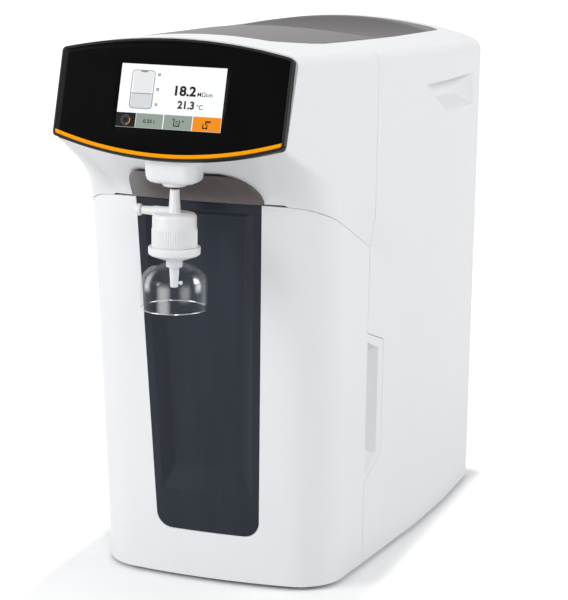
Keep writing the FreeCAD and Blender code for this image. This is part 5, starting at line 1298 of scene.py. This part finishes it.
def make_bell():
    """The clear bell, one wall from its neck to its mouth and back, and the bead round its foot."""
    outer = bell_shoulder(BELL_OUTER, BELL_RISE, BELL_NECK, math.pi / 2)
    outer += [(BELL_OUTER, z) for z in BELL_HEIGHTS + (BELL_FOOT,)]
    inner = [(BELL_MOUTH, BELL_FOOT)] + [(BELL_INNER, z) for z in (BELL_CHAMFER,) + BELL_HEIGHTS[::-1]]
    inner += bell_shoulder(BELL_INNER, BELL_INNER_RISE, math.pi / 2, BELL_NECK)
    bell = turned("bell", outer + inner, (0, SPOUT_Y, 0), steps=BELL_STEPS, closed=True)
    finished(bell, "filter", "clear_bell", "filling_bell", angle=ROUND_ANGLE)
    bead = turned("bell_bead", BELL_BEAD, (0, SPOUT_Y, 0), steps=BELL_STEPS, closed=True)
    finished(bead, "filter", "clear_bell", look="bell_bead")


def make_vent_wheel():
    wheel = turned("vent_handwheel", VENT_WHEEL, (0, SPOUT_Y, VENT_Z), steps=WHEEL_STEPS, lean=LEFTWARD)
    finished(wheel, "vent_valve", "filter_white", "vent_wheel", angle=WHEEL_ANGLE)


# ================================================================ display
GLASS_HALF, GLASS_LOW, GLASS_HIGH, GLASS_THICK, GLASS_GAP = 47.8, 10.6, 54.7, 1.1, 0.2
RIM, STRIPE_WIDTH, PANEL_THICK, PANEL_GAP = 2.0, 3.4, 1.8, 0.1
FRAME_LIP = 6.0                              # what the panel lies on, inside the rim
PLATE_CORNER, PLATE_SHARPER, PLATE_COLUMNS, PLATE_STEPS = 4.0, 0.5, 30, 5
SURROUND_EASE, PANEL_EASE, STRIPE_EASE, GLASS_EASE = 0.45, 0.2, 0.25, 0.15   # widths of softened edges
CORNER_STEPS, RING_STEPS, FIGURE_STEPS = 6, 48, 6        # segments of round lines on the screen
SIDE_FIELD, MIDDLE_FIELD, STRIPE_COLUMNS = 12, 24, 48    # columns of the panel's fields and of the stripe
FIGURE_SHARE = 0.7                           # a figure's height as a share of its type size
# heights of the screen's layers above its glass
SHADES, CELLS, OUTLINES, LEVELS, SIGNS, FIGURES, DIAL_ARC = 0.05, 0.06, 0.07, 0.08, 0.09, 0.1, 0.12
CELL_LOW, CELL_HIGH = 0.002, 0.228           # the row of cells, as shares of the screen's height
DIAL = (0.092, 0.114)
# radius, width of line, look, layer, and the angles that stay of it
DIAL_RINGS = (("dial_ring", 4.4, 0.9, "dial", SIGNS, None),
              ("dial_inner", 2.9, 0.5, "dial", SIGNS, None),
              ("dial_arc", 4.4, 0.7, "orange", DIAL_ARC, (-85, 20)))
CELL_SPOTS = (("dial_cell", 0.002, 0.188, "black"), ("amount_cell", 0.192, 0.449, "sage"),
              ("beaker_cell", 0.458, 0.725, "sage"), ("tap_cell", 0.733, 0.998, "orange"))
# left, right, low and high sides, as shares of the screen
BEAKER_LINES = (("beaker_left", 0.552, 0.561, 0.058, 0.165), ("beaker_right", 0.602, 0.611, 0.058, 0.150),
                ("beaker_foot", 0.552, 0.611, 0.052, 0.070), ("beaker_lip", 0.541, 0.561, 0.158, 0.175),
                ("beaker_scale_0", 0.571, 0.592, 0.126, 0.138),
                ("beaker_scale_1", 0.571, 0.592, 0.094, 0.106))
TAP_LINES = (("tap_arm", 0.850, 0.902, 0.142, 0.168), ("tap_spout", 0.850, 0.864, 0.108, 0.160),
             ("cup_left", 0.826, 0.836, 0.048, 0.118), ("cup_foot", 0.826, 0.876, 0.044, 0.064),
             ("cup_right", 0.866, 0.876, 0.048, 0.112))
# the same, then the look, the layer, the width of the line or 0 for a filled box, and the corners' radius
TANK_BOXES = (("tank_shade", 0.118, 0.322, 0.310, 0.535, "shade", SHADES, 0, 2.6),
              ("tank_mist", 0.128, 0.315, 0.550, 0.880, "mist", SHADES, 0, 1.6),
              ("tank_line", 0.108, 0.330, 0.296, 0.906, "line", OUTLINES, 0.75, 3.4),
              ("tank_level", 0.112, 0.326, 0.530, 0.545, "line", LEVELS, 0, 0),
              ("tank_slot", 0.190, 0.258, 0.872, 0.900, "line", SIGNS, 0, 0.5))
MARK_HEIGHTS, MARK_HALF, MARK_SIDES = (0.845, 0.612, 0.374), 0.02, (0.355, 0.379)
MARK_LINE, MARK_CORNER = 0.62, 0.5
# text, where it starts, height, full width and added weight
READINGS = (("reading_high", "18.2", (0.533, 0.540), 7.9, 19.2, 0.42),
            ("unit_high", "M\u03a9cm", (0.748, 0.540), 3.5, 13.6, 0.06),
            ("reading_low", "21.3", (0.570, 0.338), 6.3, 15.2, 0.34),
            ("unit_low", "\u00b0C", (0.752, 0.338), 3.9, 5.6, 0.06),
            ("amount", "0.25 l", (0.262, 0.082), 3.0, 10.4, 0.1))
POINTER_SIDE, POINTER_SPOT = 2.4, (0.640, 0.138)


def arc_height(u, half, rise):
    """Height above its ends of a shallow arc over -half to half, at u."""
    radius = (half * half + rise * rise) / (2 * rise)
    return math.sqrt(radius * radius - u * u) - (radius - rise)


def low_edge(u, inset, raised=0.0):
    half = DISPLAY_HALF - inset
    return inset + raised - arc_height(u, half, DISPLAY_SAG)


def high_edge(u, inset):
    return DISPLAY_SIDE - inset + arc_height(u, DISPLAY_HALF - inset, DISPLAY_RISE)


def plate_outline(inset):
    """The display's bowed outline, inset all round, with its corners rounded."""
    half = DISPLAY_HALF - inset
    across = steps_between(-half, half, PLATE_COLUMNS)
    points = [(u, low_edge(u, inset)) for u in across] + [(u, high_edge(u, inset)) for u in reversed(across)]
    corners = [0.0] * len(points)
    for i in (0, PLATE_COLUMNS, PLATE_COLUMNS + 1, 2 * PLATE_COLUMNS + 1):
        corners[i] = PLATE_CORNER - inset * PLATE_SHARPER
    return rounded(points, corners, PLATE_STEPS)


def make_frame():
    """The grey surround: a ring with a step in it that the gloss panel and the stripe lie on."""
    outer, lip, inner = (plate_outline(inset) for inset in (0.0, RIM, RIM + FRAME_LIP))
    section = ((outer, 0.0), (lip, 0.0), (lip, -PANEL_THICK), (inner, -PANEL_THICK), (inner, -DISPLAY_THICK),
               (outer, -DISPLAY_THICK), (outer, 0.0))
    rings = [[on_display(u, v, out) for u, v in line + line[:1]] for line, out in section]
    surround = edge_softened(quilt("display_surround", [rings]), SURROUND_EASE, segments=3)
    finished(surround, "housing", "bezel_grey", "display_frame")


def gloss_grid(across, low, high, rows=3):
    """Rows of points of one field of the display's face, from its lower to its upper edge."""
    return [[on_display(u, mix(low(u), high(u), t)) for u in across] for t in steps_between(0, 1, rows)]


def make_gloss_panel():
    """The black panel: fields left, right, below and above the touch screen."""
    inset = RIM + PANEL_GAP
    half = DISPLAY_HALF - inset

    def bottom(u):
        return low_edge(u, inset, STRIPE_WIDTH)

    def sill(_):
        return GLASS_LOW

    def head(_):
        return GLASS_LOW + GLASS_HIGH

    def top(u):
        return high_edge(u, inset)

    left = steps_between(-half, -GLASS_HALF, SIDE_FIELD)
    middle = steps_between(-GLASS_HALF, GLASS_HALF, MIDDLE_FIELD)
    patches = []
    for across in (left, [-u for u in reversed(left)]):
        fields = ((bottom, sill), (sill, head), (head, top))
        patches += [gloss_grid(across, low, high) for low, high in fields]
    patches += [gloss_grid(middle, bottom, sill), gloss_grid(middle, head, top)]
    panel = edge_softened(walled(quilt("gloss_panel", patches), PANEL_THICK), PANEL_EASE)
    finished(panel, "housing", "bezel_black", "display_panel")


def make_stripe():
    """The orange stripe along the panel's bowed lower edge."""
    inset = RIM + PANEL_GAP
    across = steps_between(inset - DISPLAY_HALF, DISPLAY_HALF - inset, STRIPE_COLUMNS)
    face = gloss_grid(across, lambda u: low_edge(u, inset), lambda u: low_edge(u, inset, STRIPE_WIDTH), 2)
    stripe = edge_softened(walled(quilt("orange_stripe", [face]), PANEL_THICK), STRIPE_EASE)
    finished(stripe, "housing", "accent_orange", "accent_stripe")


def flat_shape(name, size, corners, hole=0.0, soft=0.0):
    """A flat face of this width and height: a box, or round with more corners; hole leaves a line so wide."""
    cleared()
    if corners == 4:
        bpy.ops.mesh.primitive_plane_add(size=MM)
    else:
        bpy.ops.mesh.primitive_circle_add(vertices=corners, radius=MM / 2, fill_type="NGON")
    piece = bpy.context.active_object
    piece.name = "screen_" + name
    bpy.ops.object.mode_set(mode="EDIT")
    bpy.ops.mesh.select_all(action="SELECT")
    bpy.ops.transform.resize(value=(*size, 1), center_override=(0, 0, 0))
    if soft:
        bpy.ops.mesh.bevel(affect="VERTICES", offset=soft * MM, segments=CORNER_STEPS)
    if hole:
        bpy.ops.mesh.select_all(action="SELECT")
        bpy.ops.mesh.inset(thickness=hole * MM, use_even_offset=True)
        bpy.ops.mesh.delete(type="FACE")
    bpy.ops.object.mode_set(mode="OBJECT")
    return piece


def on_glass(piece, spot, look, out, *nodes):
    """Lays a flat piece on the touch screen, its middle at spot, given as shares of the screen."""
    centre = on_display(mix(-GLASS_HALF, GLASS_HALF, spot[0]), GLASS_LOW + GLASS_HIGH * spot[1], out)
    across, up = Vector((1, 0, 0)), (on_display(0, 1) - on_display(0, 0)).normalized()
    turn = Matrix((across, up, across.cross(up))).transposed().to_4x4()
    piece.matrix_world = Matrix.Translation(centre * MM) @ turn
    finished(piece, "housing", "screen_glass", *nodes, look=look)


def screen_box(name, left, right, low, high, look, out=CELLS, hole=0.0, soft=0.0):
    """A box on the screen between shares of its width and height."""
    size = ((right - left) * GLASS_HALF * 2, (high - low) * GLASS_HIGH)
    on_glass(flat_shape(name, size, 4, hole, soft), ((left + right) / 2, (low + high) / 2), look, out)


def screen_ring(name, spot, radius, line, look, out, keep):
    """A round line; keep is the range of angles, in degrees, that stays of it, or None for all."""
    ring = flat_shape(name, (radius * 2, radius * 2), RING_STEPS, line)
    if keep:
        bpy.ops.object.mode_set(mode="EDIT")
        bpy.ops.mesh.select_all(action="DESELECT")
        bpy.ops.object.mode_set(mode="OBJECT")
        for face in ring.data.polygons:
            angle = math.degrees(math.atan2(face.center.y, face.center.x))
            face.select = not keep[0] < angle < keep[1]
        bpy.ops.object.mode_set(mode="EDIT")
        bpy.ops.mesh.delete(type="FACE")
        bpy.ops.object.mode_set(mode="OBJECT")
    on_glass(ring, spot, look, out)


def screen_text(name, text, spot, high, wide, weight):
    """Dark figures that start at spot; height, full width and added weight are millimetres."""
    cleared()
    bpy.ops.object.text_add()
    piece = bpy.context.active_object
    piece.name = "screen_" + name
    piece.data.body = text
    piece.data.size = high * MM / FIGURE_SHARE
    piece.data.offset = weight * MM
    piece.data.resolution_u = FIGURE_STEPS
    bpy.ops.object.convert(target="MESH")
    piece = bpy.context.active_object
    xs = [v.co.x for v in piece.data.vertices]
    bpy.ops.object.mode_set(mode="EDIT")
    bpy.ops.mesh.select_all(action="SELECT")
    bpy.ops.transform.translate(value=(-min(xs), 0, 0))
    bpy.ops.transform.resize(value=(wide * MM / (max(xs) - min(xs)), 1, 1), center_override=(0, 0, 0))
    bpy.ops.object.mode_set(mode="OBJECT")
    on_glass(piece, spot, "ink", FIGURES)


def make_glass():
    """The touch screen itself, its face level with the panel's."""
    cleared()
    bpy.ops.mesh.primitive_cube_add(size=MM)
    glass = bpy.context.active_object
    glass.name = "touch_screen"
    bpy.ops.object.mode_set(mode="EDIT")
    bpy.ops.mesh.select_all(action="SELECT")
    size = (GLASS_HALF * 2 - GLASS_GAP, GLASS_HIGH - GLASS_GAP, GLASS_THICK)
    bpy.ops.transform.resize(value=size, center_override=(0, 0, 0))
    bpy.ops.mesh.bevel(offset=GLASS_EASE * MM, segments=2)
    bpy.ops.object.mode_set(mode="OBJECT")
    on_glass(glass, (0.5, 0.5), "screen_glass", -GLASS_THICK / 2, "touch_glass")


def make_cells():
    """The row of cells along the screen's foot, and the dial in the first of them."""
    for name, left, right, look in CELL_SPOTS:
        screen_box(name, left, right, CELL_LOW, CELL_HIGH, look)
    for name, *ring in DIAL_RINGS:
        screen_ring(name, DIAL, *ring)


def make_tank():
    """The tank: its filled lower part, its outline, water line and slot, and three marks beside it."""
    for box in TANK_BOXES:
        screen_box(*box)
    for i, level in enumerate(MARK_HEIGHTS):
        sides = (*MARK_SIDES, level - MARK_HALF, level + MARK_HALF)
        screen_box("mark_%d" % i, *sides, "ink", LEVELS, MARK_LINE, MARK_CORNER)


def make_readings():
    for reading in READINGS:
        screen_text(*reading)


def make_beaker_sign():
    """A beaker with its lip and scale, and a pointer beside it."""
    for name, *sides in BEAKER_LINES:
        screen_box(name, *sides, "ink", SIGNS)
    pointer = flat_shape("beaker_pointer", (POINTER_SIDE, POINTER_SIDE), 3)
    pointer.rotation_euler.z = math.radians(90)
    bpy.ops.object.transform_apply(location=False, rotation=True, scale=False)
    on_glass(pointer, POINTER_SPOT, "ink", SIGNS)


def make_tap_sign():
    """A tap over a cup."""
    for name, *sides in TAP_LINES:
        screen_box(name, *sides, "ink", SIGNS)


def make_display():
    make_frame()
    make_gloss_panel()
    make_stripe()
    make_glass()
    make_cells()
    make_tank()
    make_readings()
    make_beaker_sign()
    make_tap_sign()


def make_rear_fittings():
    """The inlet, its switch and fuse drawer, and the hose nuts, with their edges eased."""
    for node, body, width in (("power_inlet", "housing", 0.4), ("power_rocker", "switch", 0.5),
                              ("fuse_drawer", "fuse_holder", 0.4), ("fitting_nuts", "housing", 0.3)):
        eased(node, body, width)


make_hood()
make_underside()
make_rear()
make_panel_frame()
make_door()
make_niche()
make_lid()
make_well()
make_boss()
make_filter()
make_display()
make_rear_fittings()

# ================================================================ light and floor
WHITE, ROOM_COLOUR, ROOM_LEVEL = (1, 1, 1, 1), (0.97, 0.98, 1, 1), 0.29
PAPER_SEEN = (0.97, 0.97, 0.97, 1)                   # how pale it looks
PAPER_THROWN = (0.72, 0.72, 0.72, 1)                 # how pale it is to the light that it throws back
PAPER_GLOW, PAPER_NEAR = 1.2, 0.7                    # its own white, and the share of that near the machine
LAMPS = (                                            # name, place, height of its aim, width, height, watts
    ("key", (-2.3, -2.3, 1.7), 0.25, 1.6, 1.6, 63),
    ("front", (1.5, -2.8, 1.6), 0.25, 0.6, 0.9, 22),
    ("side", (2.8, 0.4, 1.9), 0.25, 1.6, 1.6, 37),
    ("top", (-0.3, -0.5, 2.8), 0.2, 1.6, 1.6, 19),
    ("rear", (-0.6, 3.0, 0.8), 0.25, 1.6, 1.6, 16),
)
FLOOR_SIZE, PALE_REACH, PALE_FADE = 40, 0.6, 0.3     # metres; from there on the floor is plain white
FOOTPRINT_HALF, FOOTPRINT_DEEP, FOOTPRINT_SOFT = 0.15, 0.283, 0.012


def softbox(name, place, aim, wide, high, power):
    """A lamp with a rectangular face, turned to the middle of the machine at the height aim."""
    light = bpy.data.lights.new(name, "AREA")
    light.shape = "RECTANGLE"
    light.size, light.size_y, light.energy = wide, high, power
    lamp = bpy.data.objects.new(name, light)
    bpy.context.scene.collection.objects.link(lamp)
    lamp.location = Vector(place)
    lamp.rotation_euler = (Vector((0, 0, aim)) - Vector(place)).to_track_quat("-Z", "Y").to_euler()
    return lamp


def studio_world(level):
    world = bpy.data.worlds.new("studio")
    bpy.context.scene.world = world
    world.use_nodes = True
    plain = world.node_tree.nodes["Background"]
    plain.inputs["Color"].default_value = ROOM_COLOUR
    plain.inputs["Strength"].default_value = level
    room = Nodes(world.node_tree, "World Output")
    white = room.node("Background", {}, {"Color": WHITE, "Strength": 1.0})
    room.white_afar(Wire(room, plain.outputs[0]), white)


def pale_floor():
    """White paper that keeps the machine's shadow near it, and is plain white further out."""
    cleared()
    bpy.ops.mesh.primitive_plane_add(size=FLOOR_SIZE, location=(0, 0, 0))
    floor = bpy.context.active_object
    floor.name = "floor"
    paper = Look("paper", Roughness=0.9, Specular_IOR_Level=0.1)
    bounce = paper.node("LightPath", {}, {}, "Is Diffuse Ray")
    paper.feed("Base Color", paper.blend(bounce, PAPER_SEEN, PAPER_THROWN))
    reach = paper.node("VectorMath", {"operation": "LENGTH"}, {0: paper.place}, "Value")
    white = paper.node("Emission", {}, {"Color": WHITE, "Strength": PAPER_GLOW})
    outside = (paper.axis("X").size().above(FOOTPRINT_HALF, FOOTPRINT_SOFT)
               + paper.axis("Y").size().above(FOOTPRINT_DEEP, FOOTPRINT_SOFT))
    spread = reach.above(PALE_REACH, PALE_FADE) * (1 - PAPER_NEAR) + PAPER_NEAR
    share = spread * (1 - (1 - outside).above(0.5, 0.5))
    paper.white_afar(Wire(paper, paper.shader.outputs[0]), white, share)
    floor.data.materials.append(paper.material)


lamps = {name: softbox(name, *rest) for name, *rest in LAMPS}
lamps["rear"].visible_glossy = False                 # it only fills the rear, and shows in no gloss
studio_world(ROOM_LEVEL)
pale_floor()
